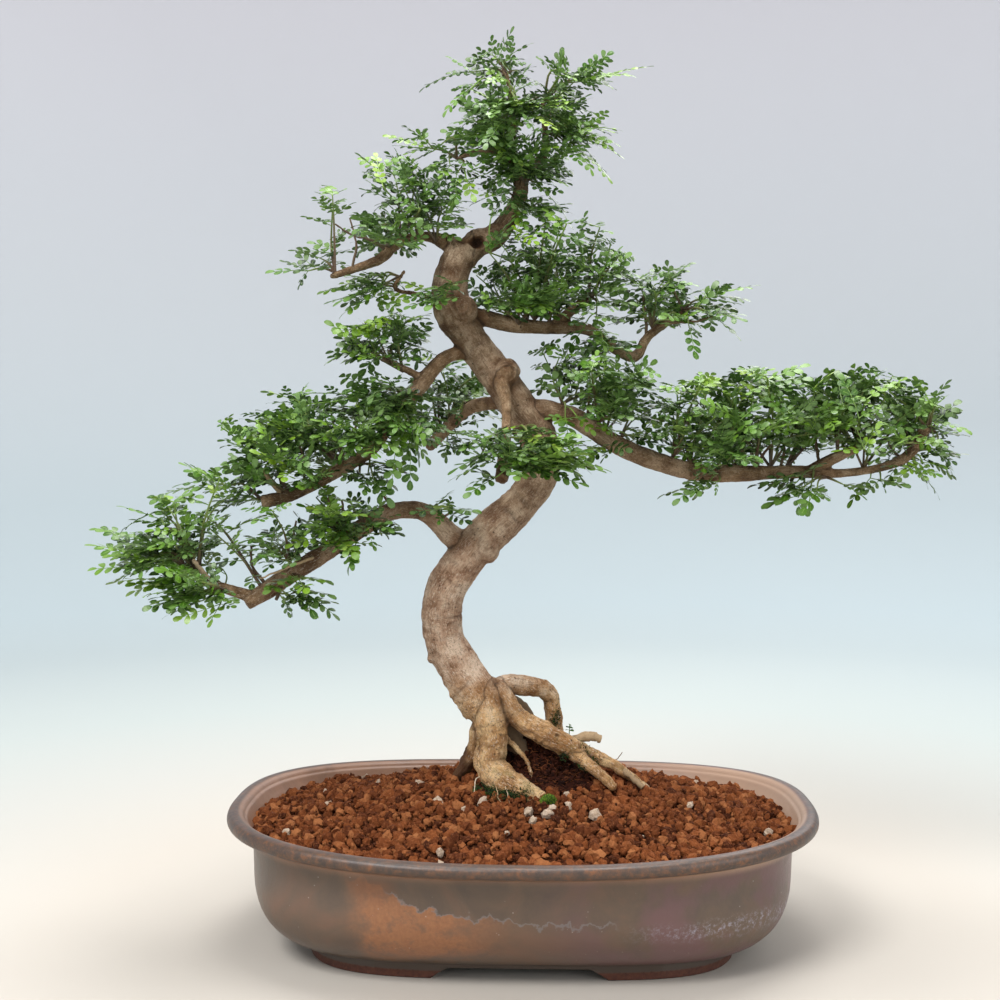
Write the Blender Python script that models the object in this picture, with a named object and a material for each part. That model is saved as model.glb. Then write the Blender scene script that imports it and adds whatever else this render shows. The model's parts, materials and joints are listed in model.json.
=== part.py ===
"""A Chinese pepper bonsai in a glazed oval pot.

The trunk leans to the right over exposed roots, and seven branches carry sprays of
feathered leaves. The pot's long side runs along X and its front faces -Y.
Tables and sizes are in millimetres from the pot's centre on the ground, and every
mesh is made in metres with +Z up.
"""

import math
import random

import bmesh
import bpy
from mathutils import Vector
from mathutils.bvhtree import BVHTree

MM = 0.001

# Pot
POT_LENGTH = 380
POT_WIDTH = 268
POT_HEIGHT = 82
RIM_RISE = 5.9
RISE_STARTS_AT = 50
OVAL_EXPONENT = 2.56
FOOT_EXPONENT = 3.8
SQUARER_BELOW = 60
FOOT_END_INSET = 9
OVAL_SEGMENTS = 36
FOOT_NOTCH_HEIGHT = 7
FOOT_NOTCH_HALF_LENGTH = 52
FOOT_NOTCH_HALF_WIDTH = 36
FOOT_NOTCH_NARROWS_TO = 0.92
DRAIN_RADIUS = 11
DRAIN_OFFSET = 78
DRAIN_SEGMENTS = 16
FLOOR_HEIGHT = 19

# Distance in from the rim's outermost edge, and height, from the foot ring's inside up
OUTER_PROFILE = [
    (54, 8.5), (54, 0), (46, 0), (45, 10.3), (42, 11.5), (35, 15.5), (27, 24), (21, 34), (17.5, 50),
    (14.5, 71), (3, 74.5), (0, 77), (1, 80), (5, 82),
]
INNER_PROFILE = [(10.5, 81), (17, 71), (23, 52), (31, 32), (50, FLOOR_HEIGHT)]

# Gaps between pieces that touch
CLEARANCE = 0.35
SEAT_GAP = 0.3

# Drainage screens
SCREEN_SIZE = 34
SCREEN_CELLS = 2
SCREEN_BAR = 3
SCREEN_THICKNESS = 1

# Soil
GRAIN_SPACING = 11.5
GRAIN_RELIEF = 2.3
GRAIN_DRIFT = 2.6
SOIL_EDGE_HEIGHT = 75.5
SOIL_CROWN = 19
SOIL_REACH = (172, 116)

# Swells of the soil under the tree: centre, spread and height
SOIL_SWELLS = [((22, 24), (70, 40), 11), ((8, 16), (26, 13), 22)]

# Routes of the wood: x, y, z and radius
TRUNK = [
    (-25, 0, 143, 12.8), (-30, 0, 156, 15), (-41, 1, 172, 14), (-50, 2, 189, 13.2),
    (-53, 2, 206, 13.5), (-49, -1, 226, 13.4), (-34, -4, 249, 12.8), (-21, -5, 262, 13.2),
    (-1, -3, 281, 12.1), (10, 0, 296, 11.9), (13, 2, 312, 12.2), (7, 3, 331, 12.4),
    (-5, 2, 348, 11.9), (-19, 2, 368, 11.3), (-33, 1, 387, 11), (-45, -2, 406, 12.8),
    (-46, -4, 426, 11.2), (-38, -4, 448, 10.6),
]
LEADER = [
    (-41, -3, 437, 9), (-30, -2, 449, 9), (-18, -1, 454, 8), (-7, 1, 469, 6), (-1, 2, 484, 5),
    (-3, 1, 500, 5.4),
]
BRANCHES = {
    "top_stub": [(-42, -4, 446, 6), (-54, -4, 452, 4.6)],
    "fork_left": [(-3, 1, 498, 4.6), (-8, 0, 510, 3.5), (-6, -2, 530, 2.6), (-10, -1, 559, 1.2)],
    "fork_right": [(-2, 1, 489, 4.4), (10, 4, 503, 3.4), (15, 6, 513, 2.7), (13, 7, 543, 1.5)],
    "fork_low_left": [(-7, 0, 509, 2.8), (-29, -3, 508, 2), (-42, -6, 503, 1.4)],
    "low_left": [
        (-33, -4, 252, 8), (-46, -5, 260, 7.4), (-62, -10, 275, 6.1), (-80, -16, 277, 5.8),
        (-94, -23, 271, 6), (-137, -37, 243, 5.8), (-158, -44, 229, 5.8), (-171, -50, 221, 5),
    ],
    "low_left_tip": [
        (-165, -47, 224, 4.2), (-179, -53, 229, 3.4), (-196, -57, 235, 2.6), (-204, -60, 242, 1.8),
    ],
    "mid_left": [
        (-28, 0, 375, 5), (-38, -1, 379, 4.4), (-52, -6, 374, 4.9), (-69, -12, 353, 5.3),
        (-83, -17, 339, 4.6), (-88, -19, 327, 4.4), (-100, -22, 313, 4.2), (-140, -31, 290, 4.2),
        (-163, -36, 283, 4.5),
    ],
    "back_left": [(-6, 3, 347, 6), (-17, 10, 347, 4.8), (-38, 30, 343, 4.4), (-67, 73, 318, 3.9)],
    "front_stub": [
        (-9, -2, 356, 6), (-13, -12, 358, 5.2), (-10, -24, 348, 3.9), (-9, -42, 330, 3.2),
        (-11, -68, 298, 4.4),
    ],
    "right_long": [
        (3, 2, 341, 8), (14, 0, 342, 7), (25, -2, 340, 5.9), (36, -2, 336, 6.4), (60, -4, 320, 6.2),
        (86, -6, 309, 6.1), (120, -8, 301, 5.7), (178, -10, 302, 4.2), (203, -11, 301, 2.9),
        (230, -12, 305, 2.8), (246, -14, 313, 3.6), (256, -16, 330, 3.4),
    ],
    "right_long_upper": [(184, -10, 302, 3.9), (198, -12, 310, 3.6), (216, -13, 318, 2.6)],
    "right_upper": [
        (-39, 0, 403, 7), (-28, 4, 403, 5.8), (-8, 7, 398, 5.2), (18, 9, 396, 4.4), (43, 11, 395, 4),
        (58, 12, 384, 3.4), (74, 14, 377, 3.6), (83, 16, 391, 3), (106, 19, 407, 2),
    ],
    "right_upper_twig": [(20, 9, 397, 3.6), (33, 11, 408, 3.2), (44, 12, 417, 2.6)],
    "upper_left": [
        (-45, -4, 450, 5), (-66, -5, 454, 3), (-82, -7, 448, 3.7), (-93, -9, 438, 3.2),
        (-123, -14, 427, 1.9),
    ],
    "upper_left_twig": [(-55, -3, 414, 3), (-70, -5, 417, 1.6), (-82, -10, 420, 1.6), (-75, -13, 431, 1.3)],
    "pruned_spur": [(-62, -11, 361, 2.8), (-90, -17, 376, 1.4)],
}
KNOTS = [(-23, -7, 251, 9), (-59.5, 0, 179, 3.2), (-10, -6, 366, 9), (-38, -8, 406, 9.5)]
HOLLOW = (-29, -11, 449)
HOLLOW_SIZE = (5.2, 6.5, 4)
ROOTS = {
    "front": [
        (-26, -1, 156, 13), (-21, -5, 139, 11), (-19, -7, 128, 10.2), (-21, -10, 112, 10.2),
        (-13, -16, 103, 10.6), (-4, -21, 99, 8.9), (14, -30, 93, 5),
    ],
    "right": [(-18, 0, 160, 8), (-3, -2, 141, 7.2), (15, -3, 130, 7.8), (35, -5, 120, 6.6)],
    "right_finger_low": [(31, -5, 121, 5.6), (50, -13, 107, 3.8), (60, -18, 98, 2.8)],
    "right_finger_high": [(31, -4, 123, 5.2), (61, 2, 108, 3.8), (84, 4, 92, 2)],
    "arch": [
        (-17, 2, 158, 7.5), (-9, 6, 161, 6.8), (9, 19, 157, 6.7), (17, 25, 152, 6.2), (20, 27, 142, 5.9),
        (23, 28, 98, 5.6),
    ],
    "back": [(-23, 2, 140, 10), (-30, 8, 118, 6.8), (-44, 12, 96, 3.6)],
    "thin": [(-12, 0, 128, 2.2), (3, -3, 113, 1.5), (7, -6, 101, 1.4)],
}

# Moss cushions: centre on the soil, half width and height
MOSS = {"moss_by_root": ((17.5, -38.5, 94), 4.8, 4), "moss_under_arch": ((38, 27, 106), 8, 4.5)}

# Leaves: length, and each leaflet's length and width as shares of it, by pairs of leaflets
LEAF_SHAPES = {2: (45, 0.37, 0.2), 1: (39, 0.47, 0.33)}
LEAF_THICKNESS = 0.8
LEAFLET_ANGLE = math.radians(58)
PETIOLE = 0.1
RIB_HALF_WIDTH = 0.85
LEAF_DROOP = 0.16
LEAF_CUP = 0.22
STEM_RADIUS = 1.6
STEM_SIDES = 4
STEM_LENGTH = 4.5
STEM_SIDE_STEP = 7
LEAF_GUARD = 0.5
TRIES = 60
SEED = 12

# Sprays: the spot on the wood where each starts, and the tips that its leaves reach
SPRAYS = {
    "apex_top": ((-9, 0, 554), [(-21, -6, 581), (5, 25, 574), (-67, 8, 567), (-62, -22, 534)]),
    "apex_right_high": ((13, 7, 540), [(24, -19, 569), (80, 13, 579)]),
    "apex_right": ((14, 7, 526), [(59, -8, 523), (60, -23, 493)]),
    "apex_front": ((-6, -3, 535), [(-24, -63, 514), (24, -54, 522)]),
    "apex_back": ((-6, 0, 529), [(-23, 61, 554), (35, 56, 559)]),
    "apex_left": ((-40, -5, 504), [(-87, -13, 522), (-41, -36, 474)]),
    "apex_low_back": ((-3, 4, 500), [(25, 46, 509)]),
    "crown_left_top": ((-79, -8, 452), [(-94, -3, 508), (-58, -22, 480)]),
    "crown_left_front": ((-86, -11, 445), [(-108, -49, 469), (-61, -62, 443)]),
    "crown_left_back": ((-92, -7, 437), [(-111, 41, 482), (-74, 42, 476)]),
    "crown_left_end": (
        (-120, -14, 429), [(-130, -20, 465), (-122, 1, 495), (-165, -18, 434), (-148, 15, 455)],
    ),
    "crown_left_low": ((-75, -14, 429), [(-121, -24, 411)]),
    "trunk_front": ((-43, -16, 417), [(-62, -52, 408)]),
    "left_twig": ((-86, -17, 374), [(-116, -16, 390)]),
    "right_crown_top": ((5, 8, 401), [(15, 11, 470), (-14, -25, 451)]),
    "right_crown_front": ((-5, 2, 397), [(0, -55, 428), (27, -49, 426)]),
    "right_crown_back": ((18, 13, 397), [(11, 60, 451), (45, 47, 459)]),
    "right_crown_side": ((43, 12, 416), [(34, 1, 465), (62, -18, 429), (50, -30, 384)]),
    "right_twig_top": ((85, 17, 397), [(69, 12, 435), (100, 49, 418)]),
    "right_twig_end": (
        (106, 20, 407), [(104, 19, 437), (151, 5, 431), (143, -20, 405), (115, -16, 379)],
    ),
    "right_mid": ((50, -3, 330), [(43, -34, 375), (76, -7, 366), (67, -53, 347)]),
    "right_mid_back": ((57, 1, 324), [(59, 52, 371)]),
    "right_pad_a": ((100, -6, 311), [(108, -11, 363), (92, -47, 341)]),
    "right_pad_a_low": ((118, -9, 298), [(95, -39, 288)]),
    "right_pad_b": ((125, -10, 304), [(124, -56, 349), (133, -80, 328)]),
    "right_pad_b_back": ((129, -4, 303), [(145, 50, 360)]),
    "right_pad_c": ((147, -9, 304), [(160, 1, 369), (165, -44, 347)]),
    "right_pad_c_back": ((167, -7, 304), [(184, 61, 361), (211, 57, 354)]),
    "right_pad_low": ((200, -12, 299), [(175, -29, 272), (152, -35, 285), (219, -27, 289)]),
    "right_pad_d": ((201, -12, 314), [(190, 7, 367), (194, -53, 340)]),
    "right_pad_e": ((216, -13, 320), [(220, 3, 368), (222, -37, 347)]),
    "right_pad_end": ((243, -13, 313), [(252, 19, 359), (267, 49, 343), (222, -62, 328)]),
    "right_pad_tip": ((256, -17, 326), [(275, -2, 345), (251, -31, 350), (277, -14, 299)]),
    "left_pad_top": ((-68, -16, 354), [(-110, -14, 362), (-82, -63, 346)]),
    "left_pad_back": ((-82, -13, 341), [(-143, 25, 355), (-113, 51, 350)]),
    "left_pad_a": ((-91, -23, 323), [(-121, -64, 340), (-86, -83, 322)]),
    "left_pad_b": ((-112, -22, 307), [(-172, -16, 343), (-156, 20, 349), (-185, 29, 323)]),
    "left_pad_front": ((-126, -31, 296), [(-150, -75, 328), (-129, -90, 310)]),
    "left_pad_c": ((-142, -35, 290), [(-186, -32, 330), (-181, -61, 313)]),
    "left_pad_end": ((-161, -37, 286), [(-231, -33, 305), (-186, -12, 283)]),
    "left_pad_under": ((-104, -26, 309), [(-78, -48, 285)]),
    "behind_trunk": ((-60, 62, 327), [(-69, 58, 368), (-31, 84, 365), (-91, 102, 330)]),
    "front_right": ((-8, -45, 328), [(54, -63, 309), (24, -89, 328)]),
    "front_left": ((-11, -50, 322), [(-43, -77, 305), (-17, -101, 331)]),
    "fork_tuft": ((-53, -10, 270), [(-44, -42, 287)]),
    "low_pad_end": ((-203, -60, 242), [(-268, -59, 251), (-256, -84, 268)]),
    "low_pad_top": (
        (-193, -57, 237), [(-269, -39, 277), (-230, -53, 290), (-258, -4, 253), (-221, 7, 269)],
    ),
    "low_pad_front": ((-177, -55, 228), [(-205, -117, 253), (-217, -78, 220), (-186, -92, 217)]),
    "low_branch_top": ((-164, -48, 230), [(-182, -31, 287), (-181, -86, 280)]),
    "low_branch_a": ((-144, -42, 243), [(-147, -60, 284), (-148, -100, 264), (-159, 14, 269)]),
    "low_branch_b": ((-117, -33, 259), [(-121, -9, 296), (-114, -74, 286)]),
    "low_shoot": ((-140, -43, 237), [(-123, -66, 214), (-125, -86, 240)]),
}

# Colour, roughness
MATERIALS = {
    "glaze": ((0.17, 0.125, 0.10), 0.38),
    "plastic": ((0.02, 0.02, 0.022), 0.5),
    "soil": ((0.22, 0.075, 0.03), 0.95),
    "bark": ((0.36, 0.26, 0.19), 0.8),
    "moss": ((0.05, 0.11, 0.015), 0.95),
    "leaf": ((0.05, 0.22, 0.04), 0.4),
}


def clear_scene():
    for obj in list(bpy.data.objects):
        bpy.data.objects.remove(obj)


def make_collection(name):
    collection = bpy.data.collections.new(name)
    bpy.context.scene.collection.children.link(collection)
    return collection


def make_material(name):
    colour, roughness = MATERIALS[name]
    material = bpy.data.materials.new(name)
    material.use_nodes = True
    shader = material.node_tree.nodes["Principled BSDF"]
    shader.inputs["Base Color"].default_value = (*colour, 1)
    shader.inputs["Roughness"].default_value = roughness
    material.diffuse_color = (*colour, 1)
    return material


def add_object(name, bm, collection):
    """A mesh object from bmesh data in millimetres, with its faces turned outwards."""
    bmesh.ops.scale(bm, vec=(MM, MM, MM), verts=bm.verts)
    bmesh.ops.recalc_face_normals(bm, faces=bm.faces)
    mesh = bpy.data.meshes.new(name)
    bm.to_mesh(mesh)
    bm.free()
    obj = bpy.data.objects.new(name, mesh)
    collection.objects.link(obj)
    return obj


def add_cutter(name, bm, cutters):
    cutter = add_object(name, bm, cutters)
    cutter.hide_render = True
    cutter.display_type = "WIRE"
    return cutter


def boolean(obj, operation, other, solver="EXACT"):
    modifier = obj.modifiers.new(operation.lower(), "BOOLEAN")
    modifier.operation = operation
    modifier.solver = solver
    if isinstance(other, bpy.types.Collection):
        modifier.operand_type = "COLLECTION"
        modifier.collection = other
    else:
        modifier.object = other
    return modifier


def evaluated_mesh(obj):
    graph = bpy.context.evaluated_depsgraph_get()
    return bpy.data.meshes.new_from_object(obj.evaluated_get(graph))


def apply_modifiers(obj):
    mesh = evaluated_mesh(obj)
    obj.modifiers.clear()
    obj.data = mesh


def fuse(name, pieces, solver="MANIFOLD"):
    """One object from overlapping pieces, by a Boolean union that is applied."""
    body, *others = pieces
    body.name = name
    body.data.name = name
    if others:
        group = bpy.data.collections.new(name + "_pieces")
        for piece in others:
            group.objects.link(piece)
        boolean(body, "UNION", group, solver)
        apply_modifiers(body)
        for piece in others:
            bpy.data.objects.remove(piece)
        bpy.data.collections.remove(group)
    return body


def tube(name, route, sides, collection, grow=0.0):
    """A tapered round bar along a route of (x, y, z, radius), thicker and longer by grow."""
    points = [Vector(point[:3]) for point in route]
    points[0] += (points[0] - points[1]).normalized() * grow
    points[-1] += (points[-1] - points[-2]).normalized() * grow
    curve = bpy.data.curves.new(name, "CURVE")
    curve.dimensions = "3D"
    curve.bevel_depth = MM
    curve.bevel_resolution = (sides - 4) // 2
    curve.use_fill_caps = True
    spline = curve.splines.new("POLY")
    spline.points.add(len(route) - 1)
    for target, place, station in zip(spline.points, points, route):
        target.co = (*(place * MM), 1)
        target.radius = station[3] + grow
    guide = bpy.data.objects.new(name, curve)
    collection.objects.link(guide)
    bm = bmesh.new()
    bm.from_mesh(evaluated_mesh(guide))
    bpy.data.objects.remove(guide)
    bmesh.ops.remove_doubles(bm, verts=bm.verts, dist=0.01 * MM)
    bmesh.ops.triangulate(bm, faces=bm.faces)
    bmesh.ops.scale(bm, vec=(1 / MM, 1 / MM, 1 / MM), verts=bm.verts)
    return add_object(name, bm, collection)


def oval_ring(inset, height):
    """Points round the pot's plan at this distance in from the rim.

    The rim rises to its ends, the lower wall is squarer in plan, and the foot stands further in at its ends.
    """
    half_length = POT_LENGTH / 2 - inset
    if height < OUTER_PROFILE[4][1]:
        half_length -= FOOT_END_INSET
    half_width = POT_WIDTH / 2 - inset
    rise = RIM_RISE * max(0, height - RISE_STARTS_AT) / (POT_HEIGHT - RISE_STARTS_AT)
    squareness = max(0, 1 - height / SQUARER_BELOW)
    exponent = OVAL_EXPONENT + (FOOT_EXPONENT - OVAL_EXPONENT) * squareness
    ring = []
    for step in range(OVAL_SEGMENTS):
        angle = 2 * math.pi * step / OVAL_SEGMENTS
        c, s = math.cos(angle), math.sin(angle)
        u = math.copysign(abs(c) ** (2 / OVAL_EXPONENT), c)
        v = math.copysign(abs(s) ** (2 / OVAL_EXPONENT), s)
        reach = (abs(u) ** exponent + abs(v) ** exponent) ** (-1 / exponent)
        x = half_length * reach * u
        y = half_width * reach * v
        ring.append((x, y, height + rise * (2 * x / POT_LENGTH) ** 2))
    return ring


def loft(rings):
    """A closed skin through rings of equally many points, with its two ends filled."""
    bm = bmesh.new()
    made = [[bm.verts.new(point) for point in ring] for ring in rings]
    for low, high in zip(made, made[1:]):
        for i in range(len(low)):
            j = (i + 1) % len(low)
            bm.faces.new((low[i], low[j], high[j], high[i]))
    bm.faces.new(made[0])
    bm.faces.new(made[-1])
    return bm


def foot_notch(half_x, half_y):
    """A block under the foot ring, a little narrower at its top."""
    bm = bmesh.new()
    bmesh.ops.create_cone(
        bm, cap_ends=True, segments=4, depth=2 * FOOT_NOTCH_HEIGHT,
        radius1=math.sqrt(2) * (2 - FOOT_NOTCH_NARROWS_TO),
        radius2=math.sqrt(2) * FOOT_NOTCH_NARROWS_TO,
    )
    for vert in bm.verts:
        x, y, z = vert.co
        vert.co = ((x + y) / math.sqrt(2) * half_x, (y - x) / math.sqrt(2) * half_y, z)
    return bm


def build_pot(parts, cutters):
    pot = add_object("pot", loft([oval_ring(*point) for point in OUTER_PROFILE + INNER_PROFILE]), parts)
    notches = {
        "notch_along": foot_notch(POT_LENGTH, FOOT_NOTCH_HALF_WIDTH),
        "notch_across": foot_notch(FOOT_NOTCH_HALF_LENGTH, POT_WIDTH),
    }
    for name, bm in notches.items():
        boolean(pot, "DIFFERENCE", add_cutter(name, bm, cutters))
    for side in (-1, 1):
        bm = bmesh.new()
        bmesh.ops.create_cone(
            bm, cap_ends=True, segments=DRAIN_SEGMENTS, depth=3 * FLOOR_HEIGHT,
            radius1=DRAIN_RADIUS, radius2=DRAIN_RADIUS,
        )
        bmesh.ops.translate(bm, vec=(side * DRAIN_OFFSET, 0, FLOOR_HEIGHT), verts=bm.verts)
        boolean(pot, "DIFFERENCE", add_cutter(f"drain_{side}", bm, cutters))
    return pot


def build_screen(name, x, parts):
    """A square plastic grid lying over a drainage hole."""
    bm = bmesh.new()
    bmesh.ops.create_grid(bm, x_segments=SCREEN_CELLS, y_segments=SCREEN_CELLS, size=SCREEN_SIZE / 2)
    cells = list(bm.faces)
    bmesh.ops.inset_individual(bm, faces=cells, thickness=SCREEN_BAR / 2)
    bmesh.ops.delete(bm, geom=cells, context="FACES")
    bars = bmesh.ops.extrude_face_region(bm, geom=list(bm.faces), use_keep_orig=True)
    raised = [item for item in bars["geom"] if isinstance(item, bmesh.types.BMVert)]
    bmesh.ops.translate(bm, vec=(0, 0, SCREEN_THICKNESS), verts=raised)
    bmesh.ops.translate(bm, vec=(x, 0, FLOOR_HEIGHT + SEAT_GAP), verts=bm.verts)
    return add_object(name, bm, parts)


def soil_height(x, y):
    across = (x / SOIL_REACH[0]) ** 2 + (y / SOIL_REACH[1]) ** 2
    height = SOIL_EDGE_HEIGHT + SOIL_CROWN * max(0, 1 - across)
    for (cx, cy), (wide, deep), swell in SOIL_SWELLS:
        height += swell * math.exp(-(((x - cx) / wide) ** 2) - ((y - cy) / deep) ** 2)
    return height


def build_soil(parts, cutters, root_guards):
    """Grains raised on a mound, which fills the pot and has plain holes for the roots."""
    draw = random.Random(SEED)
    columns = int(POT_LENGTH / GRAIN_SPACING)
    rows = int(POT_WIDTH / GRAIN_SPACING)
    bm = bmesh.new()
    bmesh.ops.create_grid(bm, x_segments=columns, y_segments=rows, size=1)
    for vert in bm.verts:
        x = vert.co.x * POT_LENGTH / 2 + draw.uniform(-GRAIN_DRIFT, GRAIN_DRIFT)
        y = vert.co.y * POT_WIDTH / 2 + draw.uniform(-GRAIN_DRIFT, GRAIN_DRIFT)
        vert.co = (x, y, soil_height(x, y) + draw.uniform(-GRAIN_RELIEF, GRAIN_RELIEF))
    bmesh.ops.triangulate(bm, faces=bm.faces)
    skirt = bmesh.ops.extrude_face_region(bm, geom=list(bm.faces), use_keep_orig=True)
    for item in skirt["geom"]:
        if isinstance(item, bmesh.types.BMVert):
            item.co.z = 0
    soil = add_object("soil", bm, parts)

    bottom = FLOOR_HEIGHT + SCREEN_THICKNESS + 2 * SEAT_GAP
    wall = [(48.6, bottom)] + [(d + 2 * CLEARANCE, z + CLEARANCE) for d, z in reversed(INNER_PROFILE[:-1])]
    top_inset, top_height = wall[-1]
    rings = [oval_ring(d, z) for d, z in wall]
    rings.append([(x, y, z + POT_HEIGHT) for x, y, z in oval_ring(top_inset, top_height)])
    inside = add_cutter("inside_of_pot", loft(rings), cutters)
    boolean(soil, "INTERSECT", inside)
    for guard in root_guards:
        boolean(soil, "DIFFERENCE", guard)
    return soil


def ball(name, centre, size, collection, segments=6, rings=4):
    bm = bmesh.new()
    bmesh.ops.create_uvsphere(bm, u_segments=segments, v_segments=rings, radius=1)
    bmesh.ops.scale(bm, vec=size, verts=bm.verts)
    bmesh.ops.translate(bm, vec=centre, verts=bm.verts)
    return add_object(name, bm, collection)


def sides_for(route):
    return 8 if max(station[3] for station in route) > 7.5 else 6


def build_wood(parts, cutters):
    """Roots, trunk and branches as one grown piece, with the rotted hollow at the trunk's top."""
    pieces = [tube("trunk", TRUNK, 10, parts), tube("leader", LEADER, 8, parts)]
    for name, route in {**BRANCHES, **ROOTS}.items():
        pieces.append(tube(name, route, sides_for(route), parts))
    for number, (x, y, z, radius) in enumerate(KNOTS):
        pieces.append(ball(f"knot_{number}", (x, y, z), (radius, radius, radius), parts))
    surfaces = [surface_tree(piece) for piece in pieces]
    wood = fuse("wood", pieces)
    bm = bmesh.new()
    bmesh.ops.create_uvsphere(bm, u_segments=8, v_segments=6, radius=1)
    bmesh.ops.scale(bm, vec=HOLLOW_SIZE, verts=bm.verts)
    bmesh.ops.translate(bm, vec=HOLLOW, verts=bm.verts)
    boolean(wood, "DIFFERENCE", add_cutter("hollow", bm, cutters))
    apply_modifiers(wood)
    return wood, surfaces


def root_guards(cutters):
    """The roots and the moss a little larger, to cut their holes in the soil."""
    guards = []
    for name, route in ROOTS.items():
        guard = tube(name + "_hole", route, sides_for(route), cutters, grow=CLEARANCE)
        guards.append(guard)
    for name, (centre, width, height) in MOSS.items():
        size = (width + CLEARANCE, width + CLEARANCE, height + CLEARANCE)
        guards.append(ball(name + "_dimple", centre, size, cutters))
    for guard in guards:
        guard.hide_render = True
        guard.display_type = "WIRE"
    return guards


def surface_tree(obj):
    """A mesh object's surface for distance and crossing tests, in millimetres."""
    points = [vert.co / MM for vert in obj.data.vertices]
    return BVHTree.FromPolygons(points, [tuple(face.vertices) for face in obj.data.polygons])


def leaf_outline(reach, length, pairs):
    """One side of a feathered leaf on its twig along X, from the fork to the tip, and the tip."""
    _, leaflet_length, leaflet_width = LEAF_SHAPES[pairs]
    first = reach - length * (1 - PETIOLE)
    last = reach - length * leaflet_length
    pitch = (last - first) / pairs
    forward = Vector((math.cos(LEAFLET_ANGLE), math.sin(LEAFLET_ANGLE))) * leaflet_length * length
    across = Vector((math.sin(LEAFLET_ANGLE), -math.cos(LEAFLET_ANGLE))) * leaflet_width * length / 2
    side = [Vector((0, RIB_HALF_WIDTH)), Vector((first, RIB_HALF_WIDTH))]
    for pair in range(pairs):
        base = Vector((first + pitch * (pair + 0.5), 0))
        side += [base + forward * 0.6 - across, base + forward, base + forward * 0.62 + across]
        side.append(Vector((first + pitch * (pair + 1), RIB_HALF_WIDTH)))
    side.append(Vector((last + 0.6 * (reach - last), leaflet_width * length / 2)))
    return side, Vector((reach, 0))


def leaf_bmesh(reach, length, pairs, bend, guard=0.0):
    """A leaf and its twig as one thin blade cut to the rib, arched along it and cupped across it."""
    side, tip = leaf_outline(reach, length, pairs)
    outline = side + [tip] + [Vector((x, -y)) for x, y in reversed(side)]
    bm = bmesh.new()
    face = bm.faces.new([bm.verts.new((*point, 0)) for point in outline])
    bmesh.ops.triangulate(bm, faces=[face])
    thickness = LEAF_THICKNESS + 2 * guard
    for vert in bm.verts:
        x, y, _ = vert.co
        beyond = max(0, x - reach + length) / length
        z = LEAF_CUP * (abs(y) - RIB_HALF_WIDTH) - LEAF_DROOP * bend * beyond ** 2 * length
        vert.co = (x + guard * beyond, y + math.copysign(guard, y), z - thickness / 2)
    blade = bmesh.ops.extrude_face_region(bm, geom=list(bm.faces), use_keep_orig=True)
    raised = [item for item in blade["geom"] if isinstance(item, bmesh.types.BMVert)]
    bmesh.ops.translate(bm, vec=(0, 0, thickness), verts=raised)
    return bm


def place(bm, origin, along, up):
    """Turns a leaf's X to along and its Z towards up, and moves it to origin."""
    x_axis = along.normalized()
    y_axis = up.cross(x_axis).normalized()
    z_axis = x_axis.cross(y_axis)
    for vert in bm.verts:
        x, y, z = vert.co
        vert.co = origin + x_axis * x + y_axis * y + z_axis * z
    return bm


def crosses(bm, trees):
    own = BVHTree.FromBMesh(bm)
    bm.free()
    return any(own.overlap(tree) for tree in trees)


def grow_leaf(fork, tip, pairs, draw, obstacles):
    """A leaf that reaches from the fork to the tip and crosses nothing, or None."""
    for attempt in range(TRIES):
        loosen = attempt / TRIES
        aim = tip + Vector([draw.gauss(0, 14 * loosen) for _ in range(3)])
        along = aim - fork
        reach = along.length
        length = min(LEAF_SHAPES[pairs][0] * (1 - 0.2 * loosen), 0.85 * reach)
        up = Vector((draw.gauss(0, 0.5), draw.gauss(-0.25, 0.5), draw.uniform(0.5, 1)))
        bend = draw.uniform(0.3, 1.2)
        guard = leaf_bmesh(reach, length, pairs, bend, LEAF_GUARD)
        if not crosses(place(guard, fork, along, up), obstacles):
            return place(leaf_bmesh(reach, length, pairs, bend), fork, along, up)
    return None


def nearest_surface(point, surfaces):
    """The nearest spot of these surfaces, and the way that it faces."""
    found = [surface.find_nearest(point) for surface in surfaces]
    spot, normal, _, _ = min(found, key=lambda hit: hit[3])
    return spot, normal


def build_spray(name, spot, tips, surfaces, obstacles, draw, parts):
    """A short stem off the wood, with a twig and a leaf to each tip, fused in one piece."""
    centre = sum((Vector(tip) for tip in tips), Vector()) / len(tips)
    towards = (centre - Vector(spot)).normalized()
    surface, normal = nearest_surface(Vector(spot) + towards * STEM_SIDE_STEP, surfaces)
    start = surface + normal * SEAT_GAP
    fork = start + (normal + towards / 2) * STEM_LENGTH
    stem = [(*start, STEM_RADIUS), (*fork, STEM_RADIUS)]
    pieces = [tube(name + "_stem", stem, STEM_SIDES, parts)]
    for number, tip in enumerate(tips):
        leaf = grow_leaf(fork, Vector(tip), 1 if number else 2, draw, obstacles)
        if leaf:
            pieces.append(add_object(f"{name}_leaf_{number}", leaf, parts))
    obstacles += [surface_tree(piece) for piece in pieces]
    return fuse(name, pieces)


def stand_at_origin(objects):
    """Moves everything so that the whole object's box is centred on the origin, feet on the ground."""
    graph = bpy.context.evaluated_depsgraph_get()
    corners = []
    for obj in objects:
        shape = obj.evaluated_get(graph)
        corners += [obj.matrix_world @ Vector(corner) for corner in shape.bound_box]
    low = Vector([min(corner[axis] for corner in corners) for axis in range(3)])
    high = Vector([max(corner[axis] for corner in corners) for axis in range(3)])
    shift = Vector((-(low.x + high.x) / 2, -(low.y + high.y) / 2, -low.z))
    for obj in bpy.data.objects:
        obj.location += shift


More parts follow.
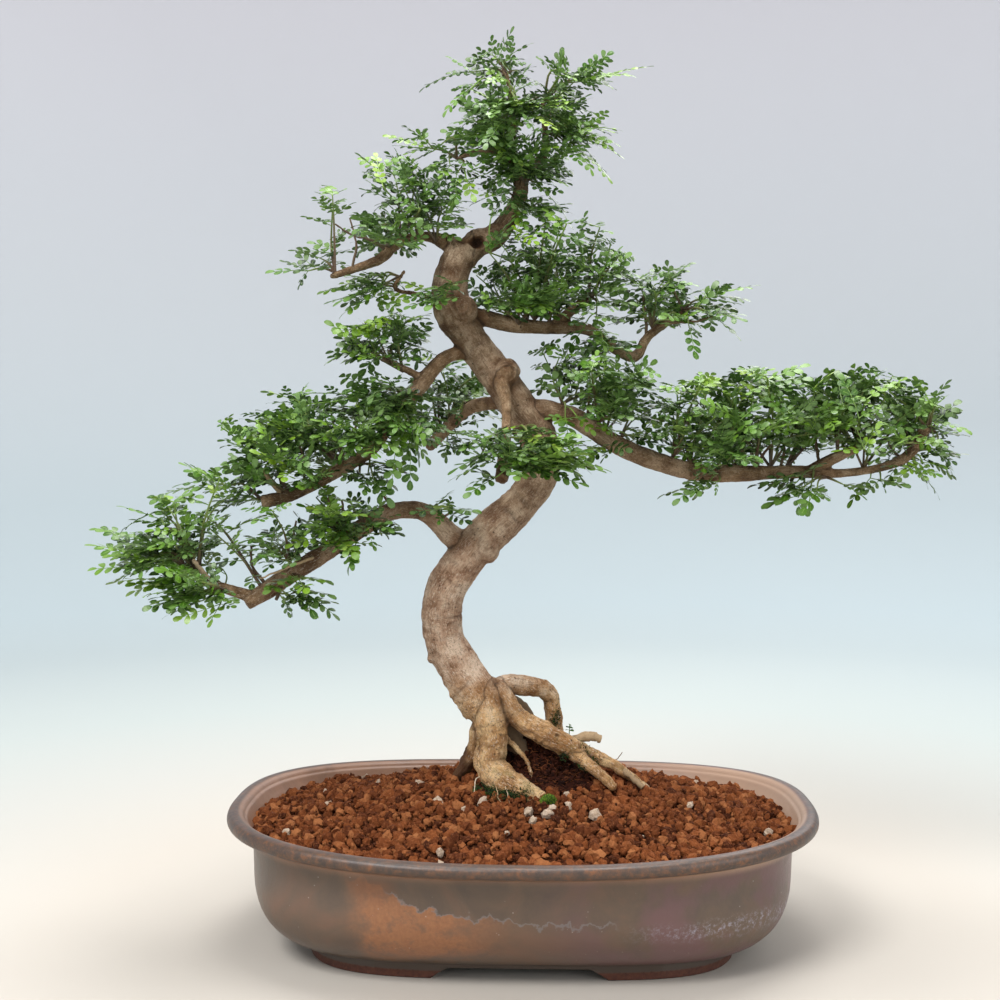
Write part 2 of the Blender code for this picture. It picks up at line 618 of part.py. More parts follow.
def main():
    clear_scene()
    parts = make_collection("pepper_bonsai")
    cutters = make_collection("cutters")
    looks = {name: make_material(name) for name in MATERIALS}

    guards = root_guards(cutters)
    pot = build_pot(parts, cutters)
    screens = [
        build_screen("drain_screen_left", -DRAIN_OFFSET, parts),
        build_screen("drain_screen_right", DRAIN_OFFSET, parts),
    ]
    soil = build_soil(parts, cutters, guards)
    wood, surfaces = build_wood(parts, cutters)
    cushions = [
        ball(name, centre, (width, width, height), parts) for name, (centre, width, height) in MOSS.items()
    ]

    obstacles = list(surfaces)
    sprays = []
    for number, (name, (spot, tips)) in enumerate(SPRAYS.items()):
        draw = random.Random(SEED + number)
        sprays.append(build_spray(name, spot, tips, surfaces, obstacles, draw, parts))

    finishes = {
        "glaze": [pot], "plastic": screens, "soil": [soil],
        "bark": [wood], "moss": cushions, "leaf": sprays,
    }
    for finish, objects in finishes.items():
        for obj in objects:
            obj.data.materials.clear()
            obj.data.materials.append(looks[finish])
    stand_at_origin([pot, soil, wood, *screens, *cushions, *sprays])


main()
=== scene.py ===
"""The looks of a Chinese pepper bonsai in an oval pot.

Shapes are worked out in millimetres from the pot's centre on the ground, as the model's
own sizes are, and moved into the frame when an object is made.
"""

import json
import math
import random

import bmesh
import bpy
import numpy as np
from mathutils import Euler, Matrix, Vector, noise
from mathutils.bvhtree import BVHTree


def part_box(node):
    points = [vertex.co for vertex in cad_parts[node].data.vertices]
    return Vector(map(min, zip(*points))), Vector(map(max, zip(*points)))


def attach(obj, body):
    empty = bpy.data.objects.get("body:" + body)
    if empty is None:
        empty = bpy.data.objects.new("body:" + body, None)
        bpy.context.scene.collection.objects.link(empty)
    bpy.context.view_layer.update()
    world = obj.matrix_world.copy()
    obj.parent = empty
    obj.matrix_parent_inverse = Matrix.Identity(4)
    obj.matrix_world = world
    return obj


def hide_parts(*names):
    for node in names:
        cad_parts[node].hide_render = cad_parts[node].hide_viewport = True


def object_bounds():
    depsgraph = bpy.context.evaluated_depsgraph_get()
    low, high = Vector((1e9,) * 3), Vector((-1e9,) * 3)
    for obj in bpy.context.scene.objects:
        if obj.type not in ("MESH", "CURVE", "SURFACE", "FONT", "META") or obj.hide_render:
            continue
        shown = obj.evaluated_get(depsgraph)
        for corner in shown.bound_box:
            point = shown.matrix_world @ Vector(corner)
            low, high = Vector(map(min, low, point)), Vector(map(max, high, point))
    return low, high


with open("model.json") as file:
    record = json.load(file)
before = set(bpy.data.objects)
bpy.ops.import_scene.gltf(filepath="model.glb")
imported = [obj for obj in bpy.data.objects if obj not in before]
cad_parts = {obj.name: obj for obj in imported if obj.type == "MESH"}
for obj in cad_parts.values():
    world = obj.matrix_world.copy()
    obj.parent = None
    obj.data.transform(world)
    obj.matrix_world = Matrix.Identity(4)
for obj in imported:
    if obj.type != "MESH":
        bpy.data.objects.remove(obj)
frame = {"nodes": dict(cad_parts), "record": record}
CAD_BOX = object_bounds()

MM = 0.001
POT_LOW, POT_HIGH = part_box("pot")
CENTRE = Vector(((POT_LOW.x + POT_HIGH.x) / 2, (POT_LOW.y + POT_HIGH.y) / 2, 0))
SEED = 7

# Camera, in millimetres from the pot's centre on the ground
CAMERA_SPOT = (16.4, -881, 318.5)
CAMERA_TILT = 0.04
CAMERA_TURN = 0.035
CAMERA_LENS = 48.6
CAMERA_SENSOR = 36

# Pot
POT_LENGTH = (POT_HIGH.x - POT_LOW.x) / MM
POT_WIDTH = (POT_HIGH.y - POT_LOW.y) / MM
POT_HEIGHT = 82
RIM_RISE = 5.9
RISE_STARTS_AT = 50
OVAL_EXPONENT = 2.56
FOOT_EXPONENT = 3.8
SQUARER_BELOW = 60
FOOT_END_INSET = 9
OVAL_SEGMENTS = 168
RIM_BEAD_INSET = 6
FOOT_NOTCH_HEIGHT = 7
FOOT_NOTCH_HALF_LENGTH = 52
FOOT_NOTCH_HALF_WIDTH = 36
FOOT_NOTCH_SLOPE = 7
DRAIN_RADIUS = 11
DRAIN_OFFSET = 78
FLOOR_HEIGHT = 19

# Distance in from the rim's outermost edge, and height: the crisp foot, then the rounded wall
FOOT_PROFILE = [(54, 8.5), (54, 0.6), (53.4, 0), (46.8, 0), (46, 0.8), (45.2, 9.6), (44.6, 10.3)]
WALL_PROFILE = [
    (42.4, 10.7), (41, 11.6), (35, 15.5), (29, 21), (24.5, 27), (21, 34), (18.6, 42), (17.5, 50), (16.3, 60), (14.9, 68.4),
    (14.2, 69.6), (13, 70.2), (12.2, 71), (11.4, 72.4), (8, 73), (3.4, 73.8), (0.9, 75.4), (0.1, 77.6), (0.8, 80),
    (2.7, 81.5), (5.4, 82), (8.2, 81.5), (10.2, 80.2), (11, 78.9), (12.4, 78.2), (13.4, 76.4), (15, 73.8), (17.6, 70),
    (20.2, 61), (23, 52), (27, 41), (31, 32), (38, 24), (50, FLOOR_HEIGHT),
]
WALL_STEPS = 2

# Drainage screens
SCREEN_CELLS = 10
SCREEN_BAR = 1.1

# Wood
WOOD_VOXEL = 1.35
WOOD_SIDES = 20
WOOD_STEPS = 12
WOOD_SMOOTHING = 4
LIP_HEIGHT = 1.3

# Routes of the wood, as the model has them: x, y, z and radius
TRUNK = [
    (-25, 0, 143, 12.8), (-30, 0, 156, 15), (-41, 1, 172, 14), (-50, 2, 189, 13.2),
    (-53, 2, 206, 13.5), (-49, -1, 226, 13.4), (-34, -4, 249, 12.8), (-21, -5, 262, 13.2),
    (-1, -3, 281, 12.1), (10, 0, 296, 11.9), (13, 2, 312, 12.2), (7, 3, 331, 12.4),
    (-5, 2, 348, 11.9), (-19, 2, 368, 11.3), (-33, 1, 387, 11), (-45, -2, 406, 12.8),
    (-46, -4, 426, 11.2), (-38, -4, 448, 10.6),
]
LEADER = [
    (-41, -3, 437, 9), (-30, -2, 449, 9), (-18, -1, 454, 8), (-7, 1, 469, 6), (-1, 2, 484, 5),
    (-3, 1, 500, 5.4),
]
BRANCHES = {
    "top_stub": [(-42, -4, 446, 6), (-54, -4, 452, 4.6)],
    "fork_left": [(-3, 1, 498, 4.6), (-8, 0, 510, 3.5), (-6, -2, 530, 2.6), (-10, -1, 559, 1.2)],
    "fork_right": [(-2, 1, 489, 4.4), (10, 4, 503, 3.4), (15, 6, 513, 2.7), (13, 7, 543, 1.5)],
    "fork_low_left": [(-7, 0, 509, 2.8), (-29, -3, 508, 2), (-42, -6, 503, 1.4)],
    "low_left": [
        (-33, -4, 252, 8), (-46, -5, 260, 7.4), (-62, -10, 275, 6.1), (-80, -16, 277, 5.8),
        (-94, -23, 271, 6), (-137, -37, 243, 5.8), (-158, -44, 229, 5.8), (-171, -50, 221, 5),
    ],
    "low_left_tip": [
        (-165, -47, 224, 4.2), (-179, -53, 229, 3.4), (-196, -57, 235, 2.6), (-204, -60, 242, 1.8),
    ],
    "mid_left": [
        (-28, 0, 375, 5), (-38, -1, 379, 4.4), (-52, -6, 374, 4.9), (-69, -12, 353, 5.3),
        (-83, -17, 339, 4.6), (-88, -19, 327, 4.4), (-100, -22, 313, 4.2), (-140, -31, 290, 4.2),
        (-163, -36, 283, 4.5),
    ],
    "back_left": [(-6, 3, 347, 6), (-17, 10, 347, 4.8), (-38, 30, 343, 4.4), (-67, 73, 318, 3.9)],
    "front_stub": [
        (-9, -2, 356, 6), (-13, -12, 358, 5.2), (-10, -24, 348, 3.9), (-9, -42, 330, 3.2),
        (-11, -68, 298, 4.4),
    ],
    "right_long": [
        (3, 2, 341, 8), (14, 0, 342, 7), (25, -2, 340, 5.9), (36, -2, 336, 6.4), (60, -4, 320, 6.2),
        (86, -6, 309, 6.1), (120, -8, 301, 5.7), (178, -10, 302, 4.2), (203, -11, 301, 2.9),
        (230, -12, 305, 2.8), (246, -14, 313, 3.6), (256, -16, 330, 3.4),
    ],
    "right_long_upper": [(184, -10, 302, 3.9), (198, -12, 310, 3.6), (216, -13, 318, 2.6)],
    "right_upper": [
        (-39, 0, 403, 7), (-28, 4, 403, 5.8), (-8, 7, 398, 5.2), (18, 9, 396, 4.4), (43, 11, 395, 4),
        (58, 12, 384, 3.4), (74, 14, 377, 3.6), (83, 16, 391, 3), (106, 19, 407, 2),
    ],
    "right_upper_twig": [(20, 9, 397, 3.6), (33, 11, 408, 3.2), (44, 12, 417, 2.6)],
    "upper_left": [
        (-45, -4, 450, 5), (-66, -5, 454, 3), (-82, -7, 448, 3.7), (-93, -9, 438, 3.2),
        (-123, -14, 427, 1.9),
    ],
    "upper_left_twig": [(-55, -3, 414, 3), (-70, -5, 417, 1.6), (-82, -10, 420, 1.6), (-75, -13, 431, 1.3)],
    "pruned_spur": [(-62, -11, 361, 2.8), (-90, -17, 376, 1.4)],
}
KNOTS = [(-23, -7, 251, 9), (-59.5, 0, 179, 3.2), (-10, -6, 366, 9), (-38, -8, 406, 9.5)]
HOLLOW = (-29, -11, 449)
HOLLOW_SIZE = (5.2, 6.5, 4)
ROOTS = {
    "front": [
        (-26, -1, 156, 13), (-21, -5, 139, 11), (-19, -7, 128, 10.2), (-21, -10, 112, 10.2),
        (-13, -16, 103, 10.6), (-4, -21, 99, 8.9), (14, -30, 93, 5),
    ],
    "right": [(-18, 0, 160, 8), (-3, -2, 141, 7.2), (15, -3, 130, 7.8), (35, -5, 120, 6.6)],
    "right_finger_low": [(31, -5, 121, 5.6), (50, -13, 107, 3.8), (60, -18, 98, 2.8)],
    "right_finger_high": [(31, -4, 123, 5.2), (61, 2, 108, 3.8), (84, 4, 92, 2)],
    "arch": [
        (-17, 2, 158, 7.5), (-9, 6, 161, 6.8), (9, 19, 157, 6.7), (17, 25, 152, 6.2), (20, 27, 142, 5.9),
        (23, 28, 98, 5.6),
    ],
    "back": [(-23, 2, 140, 10), (-30, 8, 118, 6.8), (-44, 12, 96, 3.6)],
    "thin": [(-12, 0, 128, 2.2), (3, -3, 113, 1.5), (7, -6, 101, 1.4)],
}

# Healed wounds on the bark: spot, radius and how dark the middle is
SCARS = [
    ((-38, -13, 406), 3.4, 0.85), ((-36, -15, 397), 2.6, 0.7), ((-22, -11, 367), 2.6, 0.85), ((-10, -16, 369), 3, 0.7),
    ((-6, -10, 144), 2, 0.8), ((23, -10, 131), 2.2, 0.7), ((-20, -15, 254), 2.4, 0.6), ((-163, -36, 283), 3, 0.8),
    ((-11, -70, 298), 3, 0.8), ((10, -10, 290), 1.8, 0.8), ((-44, -13, 236), 1.8, 0.8), ((14, -11, 318), 2, 0.8),
    ((256, -17, 331), 2.2, 0.8), ((-20, -13, 178), 1.6, 0.8), ((16, 20, 163), 2, 0.8),
]

# Short folds across the bark: spot, half length and depth
WRINKLES = [
    ((-6, -14, 273), 7, 1), ((2, -14, 283), 5, 0.7), ((-2, -14, 288), 9, 0.6), ((-44, -15, 229), 6, 0.6),
    ((-52, -15, 231), 4, 0.5), ((-45, -15, 244), 5, 0.6), ((-48, -15, 207), 5, 0.5), ((-46, -15, 194), 6, 0.5),
    ((-33, -8, 206), 7, 0.9), ((-40, -15, 160), 8, 0.8), ((-48, -6, 152), 7, 0.8), ((-27, -15, 136), 8, 0.7),
    ((-22, -15, 124), 7, 0.6), ((-1, -13, 146), 5, 0.6), ((5, -12, 322), 5, 0.5), ((-11, -12, 351), 5, 0.6),
    ((-28, -13, 383), 5, 0.6), ((-43, -13, 412), 4, 0.5), ((-52, 12, 215), 8, 0.7), ((-10, 12, 275), 8, 0.7),
    ((-40, 14, 175), 9, 0.7), ((10, 10, 300), 7, 0.6), ((-30, 12, 395), 6, 0.6),
]

# Thin dead twigs and cut spurs: points from the wood outwards, radius at both ends, and how pale
TWIGS = {
    "splinter": ([(-130, -42, 249), (-145, -50, 243), (-161, -58, 237)], (1.1, 0.5), 0.7),
    "spur_under_low": ([(-150, -44, 232), (-152, -50, 223)], (1.6, 1.2), 0.1),
    "low_riser_a": ([(-111, -30, 262), (-112, -32, 273), (-113, -35, 284)], (1.3, 0.7), 0.2),
    "low_riser_b": ([(-116, -32, 257), (-118, -36, 272), (-121, -38, 286)], (1.2, 0.7), 0.15),
    "low_riser_c": ([(-138, -38, 244), (-142, -44, 259), (-140, -45, 272)], (1.1, 0.6), 0.15),
    "low_riser_d": ([(-158, -44, 230), (-166, -53, 244), (-166, -56, 257)], (1.2, 0.6), 0.15),
    "low_twig": ([(-80, -18, 276), (-85, -24, 283), (-89, -27, 290)], (1.2, 0.7), 0.2),
    "pale_spur_low": ([(-190, -56, 235), (-196, -63, 243), (-199, -67, 249)], (1.7, 1.3), 0.75),
    "jin": ([(-75, -15, 350), (-76, -26, 345), (-72, -27, 335)], (1.5, 0.8), 0.85),
    "spur_twig": ([(-82, -16, 371), (-88, -22, 373), (-96, -25, 378)], (1, 0.6), 0.2),
    "spur_twig_up": ([(-76, -14, 367), (-82, -21, 371), (-85, -24, 380)], (0.9, 0.5), 0.2),
    "mid_spur": ([(-152, -34, 289), (-157, -42, 297), (-161, -46, 303)], (1.7, 1.4), 0.6),
    "mid_riser": ([(-138, -31, 291), (-136, -38, 307), (-139, -38, 319)], (1.1, 0.6), 0.2),
    "mid_riser_b": ([(-106, -24, 308), (-110, -28, 319), (-105, -26, 331)], (1.1, 0.6), 0.2),
    "right_twig_a": ([(191, -10, 305), (189, -6, 322), (191, -4, 338), (187, -4, 349)], (1.2, 0.5), 0.2),
    "right_twig_b": (
        [(110, -8, 303), (107, -7, 317), (115, -8, 326), (106, -8, 335), (113, -9, 346)], (1.3, 0.6), 0.3,
    ),
    "right_twig_c": ([(243, -13, 309), (238, -8, 315), (232, -7, 325)], (1, 0.6), 0.2),
    "right_twig_d": (
        [(207, -12, 313), (202, -7, 332), (200, -6, 342), (213, -6, 349), (226, -7, 344)], (1.1, 0.5), 0.3,
    ),
    "right_riser_a": ([(144, -8, 303), (142, -6, 318), (148, -6, 334)], (1.2, 0.6), 0.2),
    "right_riser_b": ([(166, -8, 303), (169, -4, 320), (163, -2, 336)], (1.1, 0.6), 0.2),
    "upper_twig": ([(84, 16, 391), (98, 14, 399), (112, 13, 400), (125, 13, 403)], (1.3, 0.6), 0.35),
    "upper_twig_up": ([(82, 16, 389), (81, 15, 403), (79, 15, 417)], (1.2, 0.6), 0.25),
    "under_ball_twig": ([(59, 12, 384), (52, 13, 379), (46, 12, 382)], (1.1, 0.8), 0.2),
    "ball_riser": ([(17, 9, 398), (19, 7, 414), (15, 5, 431)], (1.3, 0.7), 0.2),
    "crown_twig": ([(-88, -9, 444), (-95, -12, 450), (-110, -15, 454), (-119, -18, 460)], (1.1, 0.5), 0.15),
    "crown_twig_up": ([(-109, -12, 431), (-106, -15, 449), (-110, -16, 464)], (1, 0.5), 0.2),
    "apex_dead_twig": ([(-9, -1, 548), (-10, -5, 554), (-13, -8, 560)], (0.9, 0.5), 0.4),
    "broken_root": ([(28, 0, 121), (38, 4, 126), (47, 5, 127), (52, 5, 125)], (3.6, 2.8), 0.62),
    "inner_root": ([(-12, 12, 152), (-2, 22, 144), (4, 24, 134), (1, 20, 114)], (3.8, 4.6), 0.35),
    "fill_root": ([(-17, 5, 142), (-13, 8, 134), (-7, 9, 125), (0, 10, 114)], (7.5, 6), 0.3),
    "finger_fork": ([(66, 2, 106), (74, -4, 100), (79, -7, 96)], (2, 1.6), 0.5),
    "hair_root_a": ([(-29, -17, 105), (-30, -26, 98), (-30, -33, 92)], (0.35, 0.25), 0.9),
    "hair_root_b": ([(-10, -27, 101), (-8, -34, 95), (-7, -37, 92)], (0.3, 0.2), 0.8),
    "hair_root_c": ([(-16, -26, 101), (-14, -34, 95), (-11, -39, 92)], (0.3, 0.2), 0.65),
    "root_thread": ([(54, 3, 114), (62, 4, 112), (66, 3, 117)], (0.4, 0.25), 0.4),
}

# A leaf at full size. It has pairs of leaflets and one at its end
STALK = 5
LEAFLET_PITCH = 6.4
LEAFLET_LENGTH = 8
LEAFLET_WIDTH = 4.7
LEAFLET_ANGLE = math.radians(58)
LEAFLET_THICKNESS = 0.3
RIB_RADIUS = 0.42
MOST_PAIRS = 6
SIDE_PAIRS = (2, 3, 3, 4)
VARIANTS = 6

# How large leaves grow on the low branches and at the top, and the heights between
LEAF_SIZES = (0.94, 0.7)
SHRINKS_BETWEEN = (390, 500)

# Shoots
ARM_HALF_WIDTH = 17.5
SHORTEST_ARM = 20
END_LEAF_LENGTH = 45
END_LEAF_SHARE = 0.62
LEAF_PITCH = 5.6
LEAF_TURN = math.radians(137.5)
SHOOT_RADIUS = (0.95, 0.45)

# How far leaves may reach past a spray's tips, and past the model's box as a share of it
MARGIN_BELOW = (15, 14, 12)
MARGIN_ABOVE = (15, 14, 5)
LEAST_ROOM = (25, 24, 16)
BOX_SHARE = 0.007

# How dense a spray is: side shoots on each arm, and extra shoots from its foot
DENSITY = (1, 2)
OWN_DENSITY = {
    "apex_top": (1, 2), "apex_right_high": (1, 2), "apex_right": (2, 4), "apex_front": (4, 5), "apex_left": (1, 2),
    "crown_left_end": (0, 0), "crown_left_top": (1, 1), "crown_left_back": (1, 2), "right_crown_top": (1, 2),
    "left_twig": (1, 1), "left_pad_end": (1, 1), "left_pad_c": (1, 1),
    "low_pad_end": (1, 1), "low_pad_top": (0, 0), "low_pad_front": (0, 0), "low_branch_top": (0, 0),
    "low_branch_a": (0, 0), "low_branch_b": (1, 1), "low_shoot": (0, 0), "fork_tuft": (0, 1), "front_left": (1, 0),
    "right_crown_side": (1, 1), "right_twig_top": (1, 1), "right_twig_end": (0, 0), "right_pad_low": (0, 0),
    "right_pad_a_low": (0, 0), "right_pad_end": (1, 0), "right_pad_tip": (0, 0), "right_crown_front": (2, 2),
    "right_pad_hanging": (0, 0), "right_pad_hanging_left": (0, 0), "right_pad_hanging_end": (0, 0),
    "low_pad_crest": (0, 0), "trailing_shoot": (0, 0), "right_pad_tip_more": (0, 0),
}

# Tufts that fill in between the model's sprays: a spot by the wood, and the tips of the shoots
TUFTS = {
    "apex_left_of_leader": ((-6, -4, 499), [(-26, -31, 503), (-37, -26, 495), (-15, -29, 485), (-22, -36, 516)]),
    "apex_behind_left": ((-7, 4, 511), [(-35, 24, 522), (-46, 13, 532), (-29, 29, 544), (-16, 27, 552)]),
    "leader_right": ((0, 0, 492), [(19, -13, 481), (17, 15, 500), (33, -17, 466)]),
    "leader_left": ((-6, -6, 480), [(-25, -17, 471), (-28, 3, 487)]),
    "apex_inner": ((-6, -2, 530), [(-14, -20, 555), (5, -12, 562), (-28, -15, 553), (-32, -25, 537)]),
    "apex_inner_right": (
        (15, 5, 530), [(34, 23, 550), (43, -12, 526), (44, -2, 546), (58, -4, 499), (52, -14, 512)],
    ),
    "stub_tuft": ((-55, -8, 450), [(-44, -26, 464), (-37, 3, 474), (-58, -20, 481), (-69, -10, 502)]),
    "crown_left_inner": (
        (-67, -10, 449), [(-77, 9, 503), (-85, -9, 507), (-92, -25, 505), (-55, 18, 488), (-44, 0, 490)],
    ),
    "right_ball_high": ((8, 8, 404), [(5, 10, 463), (21, -9, 466), (38, 17, 465), (-5, -22, 445), (49, 6, 443)]),
    "right_ball_low": ((25, 7, 402), [(42, -21, 411), (15, -34, 416), (-2, 26, 416)]),
    "right_mid_inner": (
        (26, -3, 346), [(34, -21, 379), (17, 11, 366), (51, 12, 384), (75, -15, 366), (87, 17, 373), (31, -33, 323)],
    ),
    "right_pad_left": (
        (109, -2, 308), [(117, 14, 366), (125, -38, 347), (101, -10, 348), (105, -38, 322), (135, -45, 322)],
    ),
    "right_pad_middle": (
        (160, -4, 306), [(140, -17, 367), (164, 22, 366), (165, -46, 341), (183, -24, 360), (155, 41, 350)],
    ),
    "right_pad_outer": (
        (218, -4, 308), [(201, -7, 362), (225, 36, 355), (251, 17, 357), (221, -42, 334), (198, -39, 341)],
    ),
    "right_pad_under": ((246, -5, 315), [(228, -20, 294), (263, -3, 291), (274, -10, 303), (262, -25, 347)]),
    "left_pad_inner": (
        (-75, -17, 349),
        [(-75, -47, 313), (-66, -44, 292), (-78, -59, 299), (-61, -32, 305), (-86, -33, 281), (-56, -52, 322)],
    ),
    "apex_low_left": (
        (-7, 0, 509),
        [(-47, -14, 525), (-37, -25, 511), (-31, -21, 500), (-46, 4, 510), (-55, -6, 518), (-37, 17, 538)],
    ),
    "apex_cover": (
        (2, -2, 488),
        [(-8, -34, 513), (6, -40, 503), (19, -29, 503), (-1, -32, 495), (-15, -31, 503), (32, -21, 511),
         (12, -44, 513), (-21, -23, 494), (24, 7, 499)],
    ),
    "above_ball": (
        (-7, 2, 474), [(-6, -16, 475), (5, 14, 476), (17, -13, 467), (28, 7, 464), (2, -26, 458), (36, -7, 466)],
    ),
    "under_ball": ((50, 11, 390), [(45, 16, 379), (58, -10, 380), (71, 10, 378)]),
    "right_mid_top": (
        (40, -2, 336), [(41, 15, 376), (58, -12, 374), (77, 9, 372), (86, -7, 364)],
    ),
    "pad_top_left": ((140, -8, 301), [(109, -10, 362), (131, 15, 364), (144, -15, 365), (177, 20, 366)]),
    "pad_top_right": ((214, -13, 318), [(190, -9, 364), (213, 19, 362), (222, -4, 353), (252, 19, 355)]),
    "left_twig_right": (
        (-76, -14, 366), [(-85, -21, 397), (-77, -13, 390), (-78, -27, 402), (-88, -25, 384)],
    ),
    "between_pads": (
        (-112, -28, 258),
        [(-141, -35, 279), (-129, -57, 271), (-120, -60, 260), (-135, -49, 260), (-110, -54, 253), (-119, -44, 277)],
    ),
    "low_pad_under": (
        (-180, -53, 229),
        [(-240, -70, 237), (-222, -82, 231), (-254, -59, 244), (-230, -74, 223), (-209, -87, 228)],
    ),
    "left_pad_gap": ((-150, -33, 287), [(-179, -26, 332), (-167, -46, 325), (-180, -32, 312), (-170, -2, 338)]),
    "crown_low": ((-80, -9, 421), [(-128, -14, 412), (-119, -18, 404)]),
    "front_right_tips": ((-10, -60, 308), [(52, -70, 309), (42, -85, 316), (56, -58, 315)]),
    "behind_trunk_high": (
        (-50, 60, 331), [(-41, 69, 369), (-58, 50, 374), (-29, 65, 380), (-37, 79, 316), (-56, 70, 307)],
    ),
    "front_tuft": (
        (-10, -66, 303),
        [(-29, -93, 316), (-11, -98, 320), (29, -87, 306), (50, -80, 309), (42, -71, 299), (12, -100, 316)],
    ),
    "low_pad_crest": (
        (-200, -58, 240),
        [(-261, -54, 271), (-246, -64, 284), (-231, -49, 291), (-205, -64, 307), (-193, -54, 296),
         (-218, -73, 265), (-264, -60, 258)],
    ),
    "left_pad_crest": (
        (-112, -24, 309),
        [(-177, -18, 339), (-152, -31, 343), (-123, -14, 351), (-100, -32, 356), (-145, -5, 348),
         (-156, -46, 332)],
    ),
    "low_branch_gap": (
        (-100, -26, 268),
        [(-126, -19, 271), (-108, -34, 283), (-89, -40, 271), (-79, -19, 281), (-127, -41, 248),
         (-113, -32, 236), (-91, -38, 253)],
    ),
    "left_twig_more": (
        (-86, -17, 374),
        [(-112, -10, 392), (-95, -23, 397), (-82, -7, 393), (-65, -20, 381), (-114, -26, 379),
         (-76, -27, 368), (-60, -4, 394)],
    ),
    "beside_trunk": (
        (-8, 7, 400),
        [(-26, -2, 419), (-17, 13, 428), (-11, 17, 437), (-32, 10, 412), (-6, -5, 413)],
    ),
    "right_twig_more": (
        (85, 17, 397),
        [(78, 25, 433), (91, 9, 422), (111, 24, 436), (117, 8, 414), (132, 23, 407), (69, 10, 414),
         (51, 16, 434)],
    ),
    "right_pad_hanging": (
        (186, -11, 303),
        [(159, -19, 283), (174, -8, 275), (182, -16, 273), (151, -27, 295)],
    ),
    "right_pad_hanging_left": ((126, -9, 301), [(113, -22, 291), (124, -17, 287)]),
    "right_pad_hanging_end": ((226, -13, 303), [(217, -8, 291), (231, -20, 289)]),
    "right_mid_low": (
        (62, -4, 321),
        [(83, 3, 343), (94, -11, 327), (84, 1, 321), (73, -14, 350), (50, -10, 308), (31, 3, 303)],
    ),
    "behind_trunk_more": (
        (-38, 30, 345),
        [(-33, 36, 346), (-21, 27, 339), (-29, 34, 331), (-42, 40, 351), (-45, 22, 333)],
    ),
    "right_pad_tip_more": (
        (256, -16, 329),
        [(266, -8, 347), (267, -22, 332), (255, -20, 315), (272, -11, 306), (244, -10, 357)],
    ),
    "trailing_shoot": (
        (-151, -47, 230),
        [(-143, -51, 212), (-125, -52, 213), (-138, -43, 222)],
    ),
}

# Soil
GRAIN_PITCH = 5
GRAIN_SIZES = (1.9, 2.4, 2.8, 3, 3.3, 4)
PEAT_SPOT = (15, 0)
PEAT_REACH = (34, 23)
PUMICE = [
    ((-69, 10), 4), ((-24, -42), 4.2), ((5, -49), 4.6), ((8, -64), 3.4), ((20, -50), 3), ((29, -27), 3.2),
    ((46, -55), 5.2), ((-46, -100), 3.6), ((-145, -58), 3.4), ((155, -41), 3.6), ((30, -47), 3.6), ((17, -56), 4.4),
    ((108, -20), 3.2), ((-100, 40), 3.6), ((70, 60), 3.8), ((-20, 80), 3.6), ((120, 50), 3.2), ((-110, -20), 2.4),
]

# Small clumps of moss on the roots and the soil: spot, reach and number of tufts
MOSS_CLUMPS = [
    ((-27, -17, 97), (5, 4, 3), 240), ((-18, -25, 96), (7, 4, 4), 420), ((-8, -29, 96), (7, 4, 4), 420),
    ((2, -29, 96), (5, 4, 4), 300), ((37, -3, 118), (5, 5, 5), 300), ((46, -2, 113), (4, 5, 3), 160),
    ((41, -9, 111), (4, 4, 3), 120), ((28, -9, 117), (3, 3, 3), 90), ((22, 22, 134), (3, 5, 9), 200),
]


def paint(red, green, blue):
    """A colour as a camera shows it, from 0 to 255, as the shader's linear red, green, blue and alpha."""
    shares = [value / 255 for value in (red, green, blue)]
    return (*[((s + 0.055) / 1.055) ** 2.4 if s > 0.04045 else s / 12.92 for s in shares], 1)


